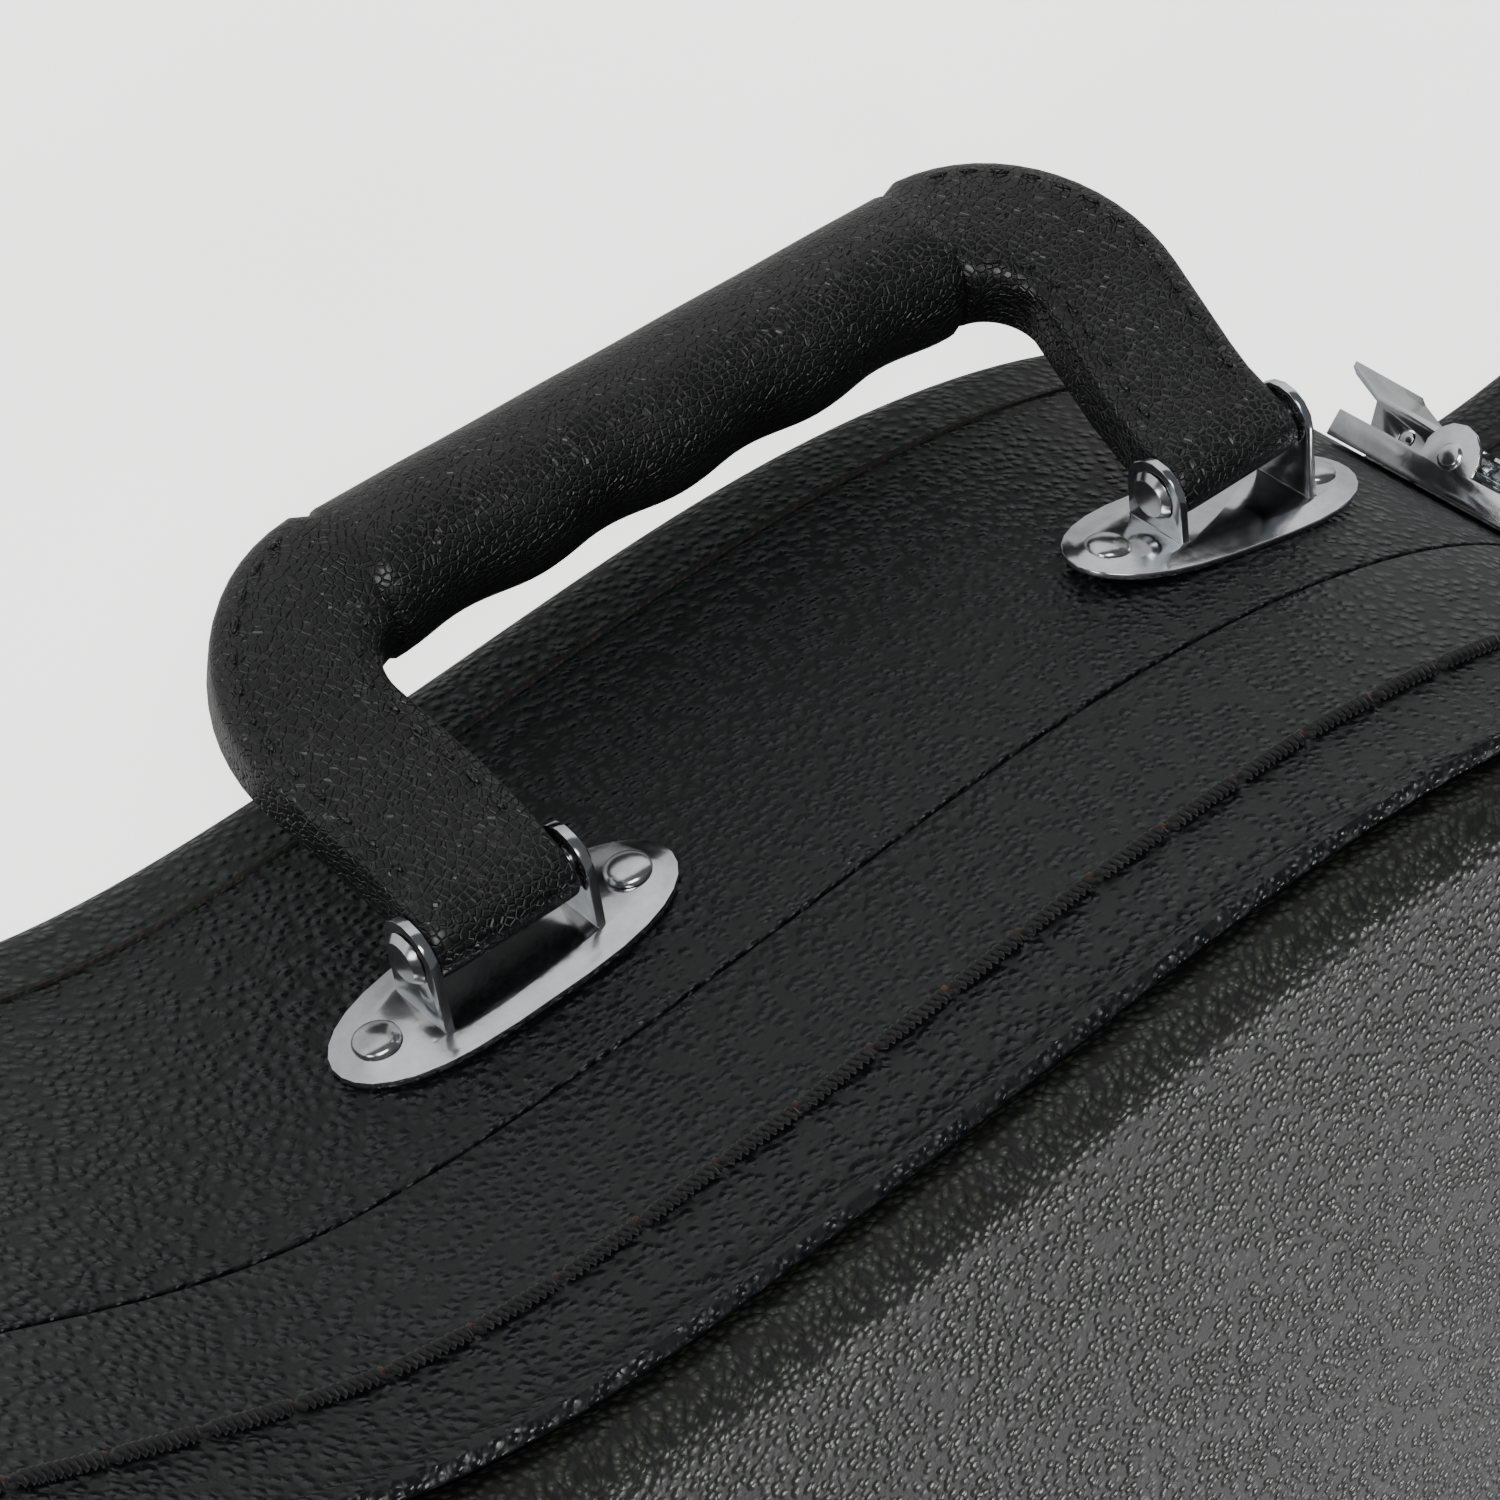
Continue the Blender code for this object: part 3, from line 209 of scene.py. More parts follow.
def copy_of(node, name):
    """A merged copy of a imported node, as a new piece."""
    bm = bmesh.new()
    bm.from_mesh(NODES[node].data)
    bmesh.ops.remove_doubles(bm, verts=bm.verts, dist=1e-6)
    bmesh.ops.dissolve_limit(bm, angle_limit=math.radians(1.0), verts=bm.verts, edges=bm.edges)
    return object_of(name, bm)


def dressed(piece, finish, body, slot, *nodes):
    piece.data.materials.clear()
    piece.data.materials.append(finish)
    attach(piece, body)
    if nodes:
        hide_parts(*nodes)
    return piece


# Materials

def linear(hex_colour):
    """An sRGB hex value as linear RGBA."""
    parts = [int(hex_colour[i:i + 2], 16) / 255 for i in (1, 3, 5)]
    return (*[p / 12.92 if p <= 0.04045 else ((p + 0.055) / 1.055) ** 2.4 for p in parts], 1.0)


def add(tree, kind, settings=None, links=None, **attributes):
    """Adds a node, sets its inputs and attributes, and links its inputs from other sockets."""
    node = tree.nodes.new(kind)
    for key, value in attributes.items():
        setattr(node, key, value)
    for key, value in (settings or {}).items():
        node.inputs[key].default_value = value
    for key, socket in (links or {}).items():
        tree.links.new(socket, node.inputs[key])
    return node


def new_material(name):
    made = bpy.data.materials.new(name)
    made.use_nodes = True
    return made, made.node_tree, made.node_tree.nodes["Principled BSDF"]


def ramp(tree, socket, stops):
    node = add(tree, "ShaderNodeValToRGB", links={"Fac": socket})
    elements = node.color_ramp.elements
    while len(elements) < len(stops):
        elements.new(0.5)
    for element, (position, colour) in zip(elements, stops):
        element.position = position
        element.color = colour
    return node


def bump(tree, height, strength, distance, normal=None):
    links = {"Height": height}
    if normal:
        links["Normal"] = normal
    return add(tree, "ShaderNodeBump", {"Strength": strength, "Distance": distance}, links).outputs["Normal"]


def grey(value):
    return (value, value, value, 1.0)


def grained_vinyl(name, dark, light, cell_mm, depth_mm, rough_low, rough_high, sheen):
    """PVC-coated cloth embossed with a pebble grain: rounded cells, with painted shade darkening the valleys and a
    painted highlight lightening the shinier crowns.
    """
    made, tree, shader = new_material(name)
    at = add(tree, "ShaderNodeTexCoord").outputs["Object"]
    drift = add(tree, "ShaderNodeTexNoise", {"Scale": 90.0, "Detail": 3.0, "Roughness": 0.55}, {"Vector": at})
    shifted = add(
        tree, "ShaderNodeVectorMath", {"Scale": 0.0022}, {0: drift.outputs["Color"]}, operation="SCALE",
    )
    bent = add(tree, "ShaderNodeVectorMath", links={0: at, 1: shifted.outputs["Vector"]}, operation="ADD")
    cells = add(
        tree, "ShaderNodeTexVoronoi", {"Scale": 1000 / cell_mm, "Randomness": 0.9},
        {"Vector": bent.outputs["Vector"]}, feature="F1",
    )
    crown = add(
        tree, "ShaderNodeMapRange", {"From Min": 0.72, "From Max": 0.12, "To Min": 0.0, "To Max": 1.0},
        {"Value": cells.outputs["Distance"]}, interpolation_type="SMOOTHSTEP",
    ).outputs["Result"]
    small = add(
        tree, "ShaderNodeTexVoronoi", {"Scale": 2600 / cell_mm},
        {"Vector": bent.outputs["Vector"]}, feature="F1",
    ).outputs["Distance"]
    fine = add(tree, "ShaderNodeTexNoise", {"Scale": 2400.0, "Detail": 2.0}, {"Vector": at}).outputs["Fac"]
    patches = add(tree, "ShaderNodeTexNoise", {"Scale": 14.0, "Detail": 4.0}, {"Vector": at}).outputs["Fac"]
    # Painted shade and painted highlight: the colour runs from the dark colour in the grain's valleys to the light
    # colour on its crowns.
    tint = ramp(tree, crown, ((0.0, linear(dark)), (0.75, linear(light))))
    cloud = ramp(tree, patches, ((0.3, grey(0.82)), (0.75, grey(1.12))))
    colour = add(
        tree, "ShaderNodeMix", {"Factor": 1.0}, {6: tint.outputs["Color"], 7: cloud.outputs["Color"]},
        data_type="RGBA", blend_type="MULTIPLY",
    )
    tree.links.new(colour.outputs[2], shader.inputs["Base Color"])
    gloss = add(
        tree, "ShaderNodeMapRange", {"To Min": rough_high, "To Max": rough_low}, {"Value": crown},
    )
    tree.links.new(gloss.outputs["Result"], shader.inputs["Roughness"])
    normal = bump(tree, fine, 0.25, 0.00012)
    normal = bump(tree, small, 0.35, depth_mm / 2500, normal)
    normal = bump(tree, crown, 0.9, depth_mm / 1000, normal)
    tree.links.new(normal, shader.inputs["Normal"])
    shader.inputs["IOR"].default_value = 1.53
    shader.inputs["Specular IOR Level"].default_value = 0.42
    shader.inputs["Sheen Weight"].default_value = sheen
    shader.inputs["Sheen Roughness"].default_value = 0.4
    return made


def moulded_plastic(name):
    """Injection-moulded ABS, textured like leather in the tool: black, satin, with fine creases."""
    made, tree, shader = new_material(name)
    at = add(tree, "ShaderNodeTexCoord").outputs["Object"]
    creases = add(
        tree, "ShaderNodeTexVoronoi", {"Scale": 760.0}, {"Vector": at}, feature="DISTANCE_TO_EDGE",
    ).outputs["Distance"]
    soft = add(
        tree, "ShaderNodeMapRange", {"From Max": 0.16}, {"Value": creases}, interpolation_type="SMOOTHSTEP",
    ).outputs["Result"]
    fine = add(tree, "ShaderNodeTexNoise", {"Scale": 1900.0, "Detail": 3.0}, {"Vector": at}).outputs["Fac"]
    wear = add(tree, "ShaderNodeTexNoise", {"Scale": 45.0, "Detail": 5.0}, {"Vector": at}).outputs["Fac"]
    tint = ramp(tree, wear, ((0.35, linear("#0f0f10")), (0.8, linear("#1b1b1d"))))
    tree.links.new(tint.outputs["Color"], shader.inputs["Base Color"])
    gloss = add(tree, "ShaderNodeMapRange", {"To Min": 0.26, "To Max": 0.42}, {"Value": wear})
    tree.links.new(gloss.outputs["Result"], shader.inputs["Roughness"])
    normal = bump(tree, fine, 0.2, 0.0001)
    normal = bump(tree, soft, 0.7, 0.00034, normal)
    tree.links.new(normal, shader.inputs["Normal"])
    shader.inputs["IOR"].default_value = 1.54
    return made


def plated_steel(name, tone, low, high):
    """Pressed steel, nickel and chrome plated: mirror-like with faint orange peel and handling marks."""
    made, tree, shader = new_material(name)
    at = add(tree, "ShaderNodeTexCoord").outputs["Object"]
    peel = add(tree, "ShaderNodeTexNoise", {"Scale": 420.0, "Detail": 2.0}, {"Vector": at}).outputs["Fac"]
    marks = add(tree, "ShaderNodeTexNoise", {"Scale": 160.0, "Detail": 6.0, "Roughness": 0.7}, {"Vector": at})
    gloss = add(tree, "ShaderNodeMapRange", {"To Min": low, "To Max": high}, {"Value": marks.outputs["Fac"]})
    tint = ramp(tree, marks.outputs["Fac"], ((0.3, linear(tone)), (0.7, linear("#dcdee0"))))
    tree.links.new(tint.outputs["Color"], shader.inputs["Base Color"])
    tree.links.new(gloss.outputs["Result"], shader.inputs["Roughness"])
    tree.links.new(bump(tree, peel, 0.12, 0.0002), shader.inputs["Normal"])
    shader.inputs["Metallic"].default_value = 1.0
    return made


def short_pile(name, dark, light):
    """Flocked plush over foam: soft black pile that lights up at its edges."""
    made, tree, shader = new_material(name)
    at = add(tree, "ShaderNodeTexCoord").outputs["Object"]
    pile = add(tree, "ShaderNodeTexNoise", {"Scale": 1500.0, "Detail": 4.0, "Roughness": 0.7}, {"Vector": at})
    lay = add(tree, "ShaderNodeTexNoise", {"Scale": 22.0, "Detail": 3.0}, {"Vector": at})
    both = add(tree, "ShaderNodeMath", {1: 0.35}, {0: pile.outputs["Fac"]}, operation="MULTIPLY")
    mixed = add(
        tree, "ShaderNodeMath", links={0: both.outputs["Value"], 1: lay.outputs["Fac"]}, operation="ADD",
    )
    tint = ramp(tree, mixed.outputs["Value"], ((0.45, linear(dark)), (0.95, linear(light))))
    tree.links.new(tint.outputs["Color"], shader.inputs["Base Color"])
    tree.links.new(bump(tree, pile.outputs["Fac"], 0.8, 0.0006), shader.inputs["Normal"])
    shader.inputs["Roughness"].default_value = 0.95
    shader.inputs["Sheen Weight"].default_value = 0.8
    shader.inputs["Sheen Roughness"].default_value = 0.35
    return made


def twisted_thread(name, dark, worn, fleck):
    """Waxed polyester thread, black with a brown cast, with flecks where the wax has worn."""
    made, tree, shader = new_material(name)
    at = add(tree, "ShaderNodeTexCoord").outputs["Object"]
    fibres = add(tree, "ShaderNodeTexNoise", {"Scale": 5200.0, "Detail": 2.0}, {"Vector": at}).outputs["Fac"]
    flecks = add(tree, "ShaderNodeTexNoise", {"Scale": 520.0, "Detail": 2.0}, {"Vector": at}).outputs["Fac"]
    tint = ramp(tree, flecks, ((0.50, linear(dark)), (0.64, linear(worn)), (0.74, linear(fleck))))
    tree.links.new(tint.outputs["Color"], shader.inputs["Base Color"])
    tree.links.new(bump(tree, fibres, 0.6, 0.0002), shader.inputs["Normal"])
    shader.inputs["Roughness"].default_value = 0.6
    shader.inputs["Sheen Weight"].default_value = 0.2
    return made


def sawn_ply(name, dark, light):
    """Thin birch ply stained dark, with its grain running along the strip."""
    made, tree, shader = new_material(name)
    at = add(tree, "ShaderNodeTexCoord").outputs["Object"]
    flat = add(tree, "ShaderNodeMapping", {"Scale": (1.0, 1.0, 9.0)}, {"Vector": at}).outputs["Vector"]
    grain = add(
        tree, "ShaderNodeTexNoise", {"Scale": 60.0, "Detail": 6.0, "Distortion": 0.6}, {"Vector": flat},
    )
    tint = ramp(tree, grain.outputs["Fac"], ((0.35, linear(dark)), (0.7, linear(light))))
    tree.links.new(tint.outputs["Color"], shader.inputs["Base Color"])
    tree.links.new(bump(tree, grain.outputs["Fac"], 0.3, 0.0002), shader.inputs["Normal"])
    shader.inputs["Roughness"].default_value = 0.7
    return made


def woven_ribbon(name):
    """Polyester grosgrain: close ribs across the tape, 0.8 mm apart."""
    made, tree, shader = new_material(name)
    at = add(tree, "ShaderNodeTexCoord").outputs["Object"]
    ribs = add(
        tree, "ShaderNodeTexWave", {"Scale": 200.0, "Distortion": 0.3}, {"Vector": at}, bands_direction="Y",
    )
    tint = ramp(tree, ribs.outputs["Fac"], ((0.2, linear("#141210")), (0.9, linear("#2b2826"))))
    tree.links.new(tint.outputs["Color"], shader.inputs["Base Color"])
    tree.links.new(bump(tree, ribs.outputs["Fac"], 0.5, 0.0002), shader.inputs["Normal"])
    shader.inputs["Roughness"].default_value = 0.75
    return made


SIDE_VINYL = grained_vinyl("grained PVC cloth on the sides", "#07090b", "#101417", 2.1, 0.50, 0.24, 0.52, 0.0)
# Painted sheen: the lid's copy of the vinyl gets lighter, grey-green colours than the sides, standing in for the
# light the lid reflects.
LID_VINYL_PAINTED_SHEEN = grained_vinyl("grained PVC cloth on the lid", "#0f110f", "#31342f", 1.6, 0.34, 0.32, 0.60, 0.0)
CUT_EDGE = grained_vinyl("cut edge of the PVC cloth", "#0f0c0a", "#1f1814", 1.2, 0.10, 0.5, 0.7, 0.0)
HANDLE_PLASTIC = moulded_plastic("leather-textured ABS")
CHROME = plated_steel("chrome-plated steel", "#b9bcc0", 0.07, 0.22)
PIN_STEEL = plated_steel("nickel-plated rivet steel", "#a8a9ab", 0.12, 0.30)
PLUSH = short_pile("black flocked plush", "#0b0a0a", "#221f1e")
THREAD = twisted_thread("waxed twisted thread", "#050505", "#090807", "#150f0c")
WAX = twisted_thread("brown wax at the locks", "#2a1610", "#4a261b", "#6a3626")
PLY = sawn_ply("dark stained ply", "#1d1712", "#3a2e23")
RIBBON = woven_ribbon("grosgrain ribbon")


# Shells

def base_shell():
    lap = 0.0005
    edge = arc((0.010, 0.010), 0.0104, 180, 266, 8)
    section = [
        (0.0004, SPLIT_Z), (0.0001, SPLIT_Z - 0.0002), (0.0, SPLIT_Z - 0.0005), (0.0, SPLIT_Z - 0.012),
        (0.0, SEAM_Z + 0.004), (0.0, SEAM_Z + 0.0002), (-lap, SEAM_Z - 0.0004), (-lap, SEAM_Z - 0.004), *edge,
        (0.0103, 0.0045), (WALL, 0.006), (WALL, SPLIT_Z - 0.001), (WALL - 0.001, SPLIT_Z),
    ]
    dressed(carried("base_wall_covering", section), SIDE_VINYL, "base", "vinyl_covered_ply", "base_wall")
    cut = [
        (0.0, SEAM_Z + 0.0004), (-lap * 0.9, SEAM_Z + 0.0001),
        (-lap * 1.05, SEAM_Z - 0.0007), (0.0002, SEAM_Z - 0.0007),
    ]
    dressed(carried("base_covering_cut_edge", cut), CUT_EDGE, "base", "vinyl_covered_ply")


def lid_shell():
    section = [
        (0.0004, LID_Z), (0.0001, LID_Z + 0.0002), (0.0, LID_Z + 0.0005), (0.0, LID_Z + 0.012),
        (0.0, LIP_Z - 0.010), (-0.0002, LIP_Z - 0.0046), (-0.0010, LIP_Z - 0.0034),
        (-0.0014, LIP_Z - 0.0021), (-0.0011, LIP_Z - 0.0009),
        (0.0, LIP_Z - 0.0001), (0.0010, LIP_Z + 0.0002), (0.0020, LIP_Z - 0.0001), (0.0027, LIP_Z - 0.0010),
        (0.0030, LIP_Z - 0.0024), (0.0036, LIP_Z - 0.0034), (WALL, LIP_Z - 0.0036),
        (WALL, LID_Z + 0.001), (WALL - 0.001, LID_Z),
    ]
    dressed(carried("lid_wall_covering", section), SIDE_VINYL, "lid", "vinyl_covered_ply", "lid_wall")


def arch(x, y, inset):
    half = max(OUTLINE.half_width(x) - inset, 1e-4)
    share = min(abs(y) / half, 1.0)
    return ARCH * OUTLINE.half_width(x) / LOWER_BOUT * (1 - share * share)


def lid_panel():
    """The arched panel: rolled edge round the outside, then a skin cut into a fine grid and raised."""
    inner = 0.0160
    turn = arc((0.0140, LIP_Z + 0.0004), 0.0096, 180, 90, 12)
    section = [
        (0.0066, LIP_Z - 0.0030), (0.0052, LIP_Z - 0.0026), (0.0045, LIP_Z - 0.0012),
        *turn, (inner, CREST_Z - 0.0014),
    ]
    rings = [[OUTLINE.place(i, inset, z) for i in range(AROUND)] for inset, z in section]
    bm = extruded_rings(rings, cap=True)
    lid = [face for face in bm.faces if len(face.verts) == AROUND and face.calc_center_median().z > LIP_Z]
    inside = {vert for vert in lid[0].verts}
    for step in range(-13, 14):
        cut_plane(bm, (0, step * 0.016, 0), (0, 1, 0), CREST_Z - 0.0015)
    for step in range(-34, 35):
        cut_plane(bm, (step * 0.016, 0, 0), (1, 0, 0), CREST_Z - 0.0015)
    for vert in bm.verts:
        if vert not in inside and abs(vert.co.z - (CREST_Z - 0.0014)) < 1e-5:
            vert.co.z += arch(vert.co.x, vert.co.y, inner)
    bmesh.ops.recalc_face_normals(bm, faces=bm.faces)
    dressed(object_of("lid_top_covering", bm), LID_VINYL_PAINTED_SHEEN, "lid", "vinyl_covered_ply", "lid_top_panel")


def cut_plane(bm, point, normal, above):
    """Cuts only the flat skin on top, so that the rolled edge keeps its own faces."""
    below = CREST_Z - 0.0012
    skin = []
    for face in bm.faces:
        if all(above < vert.co.z < below for vert in face.verts) and abs(face.normal.z) > 0.999:
            skin.append(face)
    geometry = set(skin)
    for face in skin:
        geometry.update(face.edges)
        geometry.update(face.verts)
    bmesh.ops.bisect_plane(bm, geom=list(geometry), plane_co=point, plane_no=normal, dist=1e-6)


def thread_line():
    """A rope of two plies round the lid, drawn into the vinyl where each stitch locks, with brown flecks."""
    fine = Outline(4000)
    steps = np.hypot(*(np.roll(fine.points, -1, axis=0) - fine.points).T)
    along = np.concatenate([[0.0], np.cumsum(steps)])
    stitches = int(round(along[-1] / 0.015))
    pitch = along[-1] / stitches
    count = int(along[-1] / 0.00042)
    s = np.arange(count) * along[-1] / count
    closed, normals = np.vstack([fine.points, fine.points[:1]]), np.vstack([fine.outward, fine.outward[:1]])
    path = np.column_stack([np.interp(s, along, closed[:, k]) for k in (0, 1)])
    out = np.column_stack([np.interp(s, along, normals[:, k]) for k in (0, 1)])
    out /= np.hypot(*out.T)[:, None]
    rng = np.random.default_rng(4)
    nudge = rng.uniform(-0.0004, 0.0004, stitches + 1)
    nudge[-1] = nudge[0]
    share = s / pitch
    sway = np.interp(share, np.arange(stitches + 1), nudge)
    from_lock = np.abs(share - np.round(share)) * pitch
    dip = np.exp(-((from_lock / 0.0009) ** 2))
    lift = 0.00085 - 0.0015 * dip
    drop = sway - 0.0005 * dip
    turns = 2 * math.pi * np.round(along[-1] / 0.0026) * s / along[-1]
    bm = bmesh.new()
    sides = 5
    for ply in (0.0, math.pi):
        rows = []
        for k in range(count):
            wide = 0.00062 * (1.0 - 0.35 * dip[k])
            mid_out = lift[k] + math.cos(turns[k] + ply) * wide
            mid_up = STITCH_Z + drop[k] + math.sin(turns[k] + ply) * wide
            row = []
            for i in range(sides):
                angle = 2 * math.pi * i / sides
                o = mid_out + 0.00078 * math.cos(angle)
                x, y = path[k] + out[k] * o
                row.append(bm.verts.new((x, y, mid_up + 0.00078 * math.sin(angle))))
            rows.append(row)
        for k in range(count):
            lower, upper = rows[k - 1], rows[k]
            for i in range(sides):
                j = (i + 1) % sides
                bm.faces.new((lower[i], lower[j], upper[j], upper[i]))
    bmesh.ops.recalc_face_normals(bm, faces=bm.faces)
    dressed(object_of("lid_thread_line", bm, 80), THREAD, "lid", "vinyl_covered_ply")
    bm = bmesh.new()
    for n in range(stitches):
        k = min(int(round(n * pitch / along[-1] * count)), count - 1)
        x, y = path[k] + out[k] * 0.0002
        made = bmesh.ops.create_icosphere(bm, subdivisions=1, radius=1.0)["verts"]
        bmesh.ops.scale(bm, vec=(0.0008, 0.0008, 0.0009), verts=made)
        bmesh.ops.translate(bm, vec=(x, y, STITCH_Z + drop[k] - 0.0007), verts=made)
    dressed(object_of("lid_thread_flecks", bm, 80), WAX, "lid", "vinyl_covered_ply")


# Handle

LEG_WIDTH, LEG_THICKNESS, REACH, CORNER = 0.0270, 0.0125, 0.060, 0.0215
FLARE, FLARE_START, LEAN = math.radians(10.0), 0.012, 0.0035
GRIP_WIDTH, GRIP_DEEP, GRIP_HALF, STEP, RIPPLE = 0.0250, 0.0250, 0.059, 0.0018, 0.0016


def handle_frame():
    joint = JOINTS["handle_swing"]
    axis = -Vector(joint["axis"]).normalized()
    up = Vector((0, 0, 1))
    out = axis.cross(up)
    place = Matrix((axis, up, out)).transposed().to_4x4() @ Matrix.Rotation(math.radians(65.0), 4, "X")
    place.translation = Vector(joint["pos_m"])
    return place


def rounded(centre, across, out, width, depth, power, sides=32):
    ring = []
    for i in range(sides):
        turn = 2 * math.pi * (i + 0.5) / sides
        c, s = math.cos(turn), math.sin(turn)
        a = width / 2 * math.copysign(abs(c) ** power, c)
        b = depth / 2 * math.copysign(abs(s) ** power, s)
        ring.append(centre + across * a + out * b)
    return ring


def handle_stations(half):
    """Sections down one leg and round its corner: x, z, heading, width, thickness, squareness, lean."""
    end = LEG_THICKNESS / 2 * 0.85
    made = [
        (half, -end, 90.0, LEG_WIDTH * 0.97, LEG_THICKNESS * 0.26, 0.40, 0.0),
        (half, -end * 0.9, 90.0, LEG_WIDTH * 0.99, LEG_THICKNESS * 0.46, 0.34, 0.0),
        (half, -end * 0.62, 90.0, LEG_WIDTH, LEG_THICKNESS * 0.70, 0.30, 0.0),
        (half, -end * 0.3, 90.0, LEG_WIDTH, LEG_THICKNESS * 0.84, 0.28, 0.0),
    ]
    straight = REACH - CORNER * (1 + math.sin(FLARE))
    for share in (0.0, 0.4, 0.75):
        made.append((half, FLARE_START * share, 90.0, LEG_WIDTH, LEG_THICKNESS * 0.92, 0.27, 0.0))
    heading, flared = 80.0, straight - FLARE_START
    for share in (0.2, 0.4, 0.6, 0.8, 1.0):
        x, z = half + flared * share * math.tan(FLARE), FLARE_START + flared * share
        made.append((x, z, heading, LEG_WIDTH, LEG_THICKNESS * (0.93 + 0.07 * share), 0.27, 0.0))
    corner_x = half + flared * math.tan(FLARE) - CORNER * math.cos(FLARE)
    corner_z = REACH - CORNER
    for n in range(1, 16):
        share = n / 16
        turn = heading + (180.0 - heading) * share
        angle = math.radians(turn)
        x, z = corner_x + CORNER * math.sin(angle), corner_z - CORNER * math.cos(angle)
        deep, power = LEG_THICKNESS * (1.0 + 0.45 * share), 0.27 + 0.4 * share ** 2
        made.append((x, z, turn, LEG_WIDTH, deep, power, -LEAN * share / 2))
    inner = GRIP_DEEP - STEP * 2
    made.append((GRIP_HALF + STEP * 0.9, REACH, 180.0, GRIP_WIDTH, inner, 0.80, -LEAN * 0.8))
    half_step = STEP * 0.5
    made.append((
        GRIP_HALF + STEP * 0.3, REACH, 180.0, GRIP_WIDTH + half_step, GRIP_DEEP - half_step, 0.86, -LEAN,
    ))
    made.append((GRIP_HALF, REACH, 180.0, GRIP_WIDTH + STEP, GRIP_DEEP, 0.88, -LEAN))
    return made


def handle_moulding():
    place = handle_frame()
    left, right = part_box("handle_pin_waist_side"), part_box("handle_pin_neck_side")
    half = ((left[0] + left[1]) / 2 - (right[0] + right[1]) / 2).length / 2
    stations = handle_stations(half)
    y_axis = Vector((0, 1, 0))
    rings = []
    for x, z, heading, width, deep, power, lean in stations:
        turn = math.radians(heading)
        across = Vector((math.sin(turn), 0, -math.cos(turn)))
        rings.append(rounded(Vector((x, lean, z)), across, y_axis, width, deep, power))
    steps, waves = 56, 4
    for i in range(1, steps):
        x = GRIP_HALF - 2 * GRIP_HALF * i / steps
        ripple = RIPPLE * (1 - math.cos(2 * math.pi * waves * i / steps)) / 2
        centre = Vector((x, -LEAN, REACH + ripple / 2))
        rings.append(rounded(centre, Vector((0, 0, 1)), y_axis, GRIP_WIDTH + STEP - ripple, GRIP_DEEP, 0.88))
    for x, z, heading, width, deep, power, lean in reversed(stations):
        turn = math.radians(heading)
        across = Vector((-math.sin(turn), 0, -math.cos(turn)))
        rings.append(rounded(Vector((-x, lean, z)), across, y_axis, width, deep, power))
    bm = extruded_rings([[place @ p for p in ring] for ring in rings])
    dressed(object_of("handle_moulding", bm, 44), HANDLE_PLASTIC, "handle", "handle_plastic", "handle")
    moulded_stitches(place, stations[6:-4])


def moulded_stitches(place, stations):
    """Two rows of raised stitch shapes on each broad face, down the legs and round their corners."""
    bm = bmesh.new()
    for row in (-1, 1):
        path = []
        for x, z, heading, width, deep, power, lean in stations:
            turn = math.radians(heading)
            spot = Vector((x, lean, z)) + Vector((math.sin(turn), 0, -math.cos(turn))) * row * width * 0.36
            path.append((spot, deep / 2 * (1 - 0.72 ** (2 / power)) ** (power / 2)))
        runs = [0.0]
        for (first, _), (second, _) in zip(path, path[1:]):
            runs.append(runs[-1] + (second - first).length)
        count = int(runs[-1] / 0.0052)
        for n in range(count):
            s = (n + 0.5) * runs[-1] / count
            k = max(i for i, run in enumerate(runs) if run <= s)
            k = min(k, len(path) - 2)
            t = (s - runs[k]) / max(runs[k + 1] - runs[k], 1e-9)
            spot, way = path[k][0].lerp(path[k + 1][0], t), (path[k + 1][0] - path[k][0]).normalized()
            lift = path[k][1] * (1 - t) + path[k + 1][1] * t
            for side in (-1, 1):
                for face in (-1, 1):
                    made = bmesh.ops.create_uvsphere(bm, u_segments=8, v_segments=5, radius=1.0)["verts"]
                    bmesh.ops.scale(bm, vec=(0.0018, 0.0005, 0.0006), verts=made)
                    turned = Matrix.Rotation(-math.atan2(way.z, way.x), 4, "Y")
                    turned.translation = Vector((spot.x, spot.y + face * lift, spot.z))
                    if side < 0:
                        turned = Matrix.Scale(-1, 4, (1, 0, 0)) @ turned
                    bmesh.ops.transform(bm, matrix=place @ turned, verts=made)
    bmesh.ops.recalc_face_normals(bm, faces=bm.faces)
    dressed(object_of("handle_moulded_stitches", bm, 80), HANDLE_PLASTIC, "handle", "handle_plastic")


# Chromed hardware

def bevelled(node, name, body, finish, width=0.00022, segments=2, slot="chromed_steel"):
    """A merged copy of a pressed part with its edges broken."""
    piece = copy_of(node, name)
    edge = piece.modifiers.new("broken edges", "BEVEL")
    edge.width = width
    edge.segments = segments
    edge.limit_method = "ANGLE"
    edge.angle_limit = math.radians(40)
    edge.use_clamp_overlap = True
    applied(piece)
    piece.data.shade_smooth()
    piece.data.set_sharp_from_angle(angle=math.radians(50))
    dressed(piece, finish, body, slot, node)
    return piece


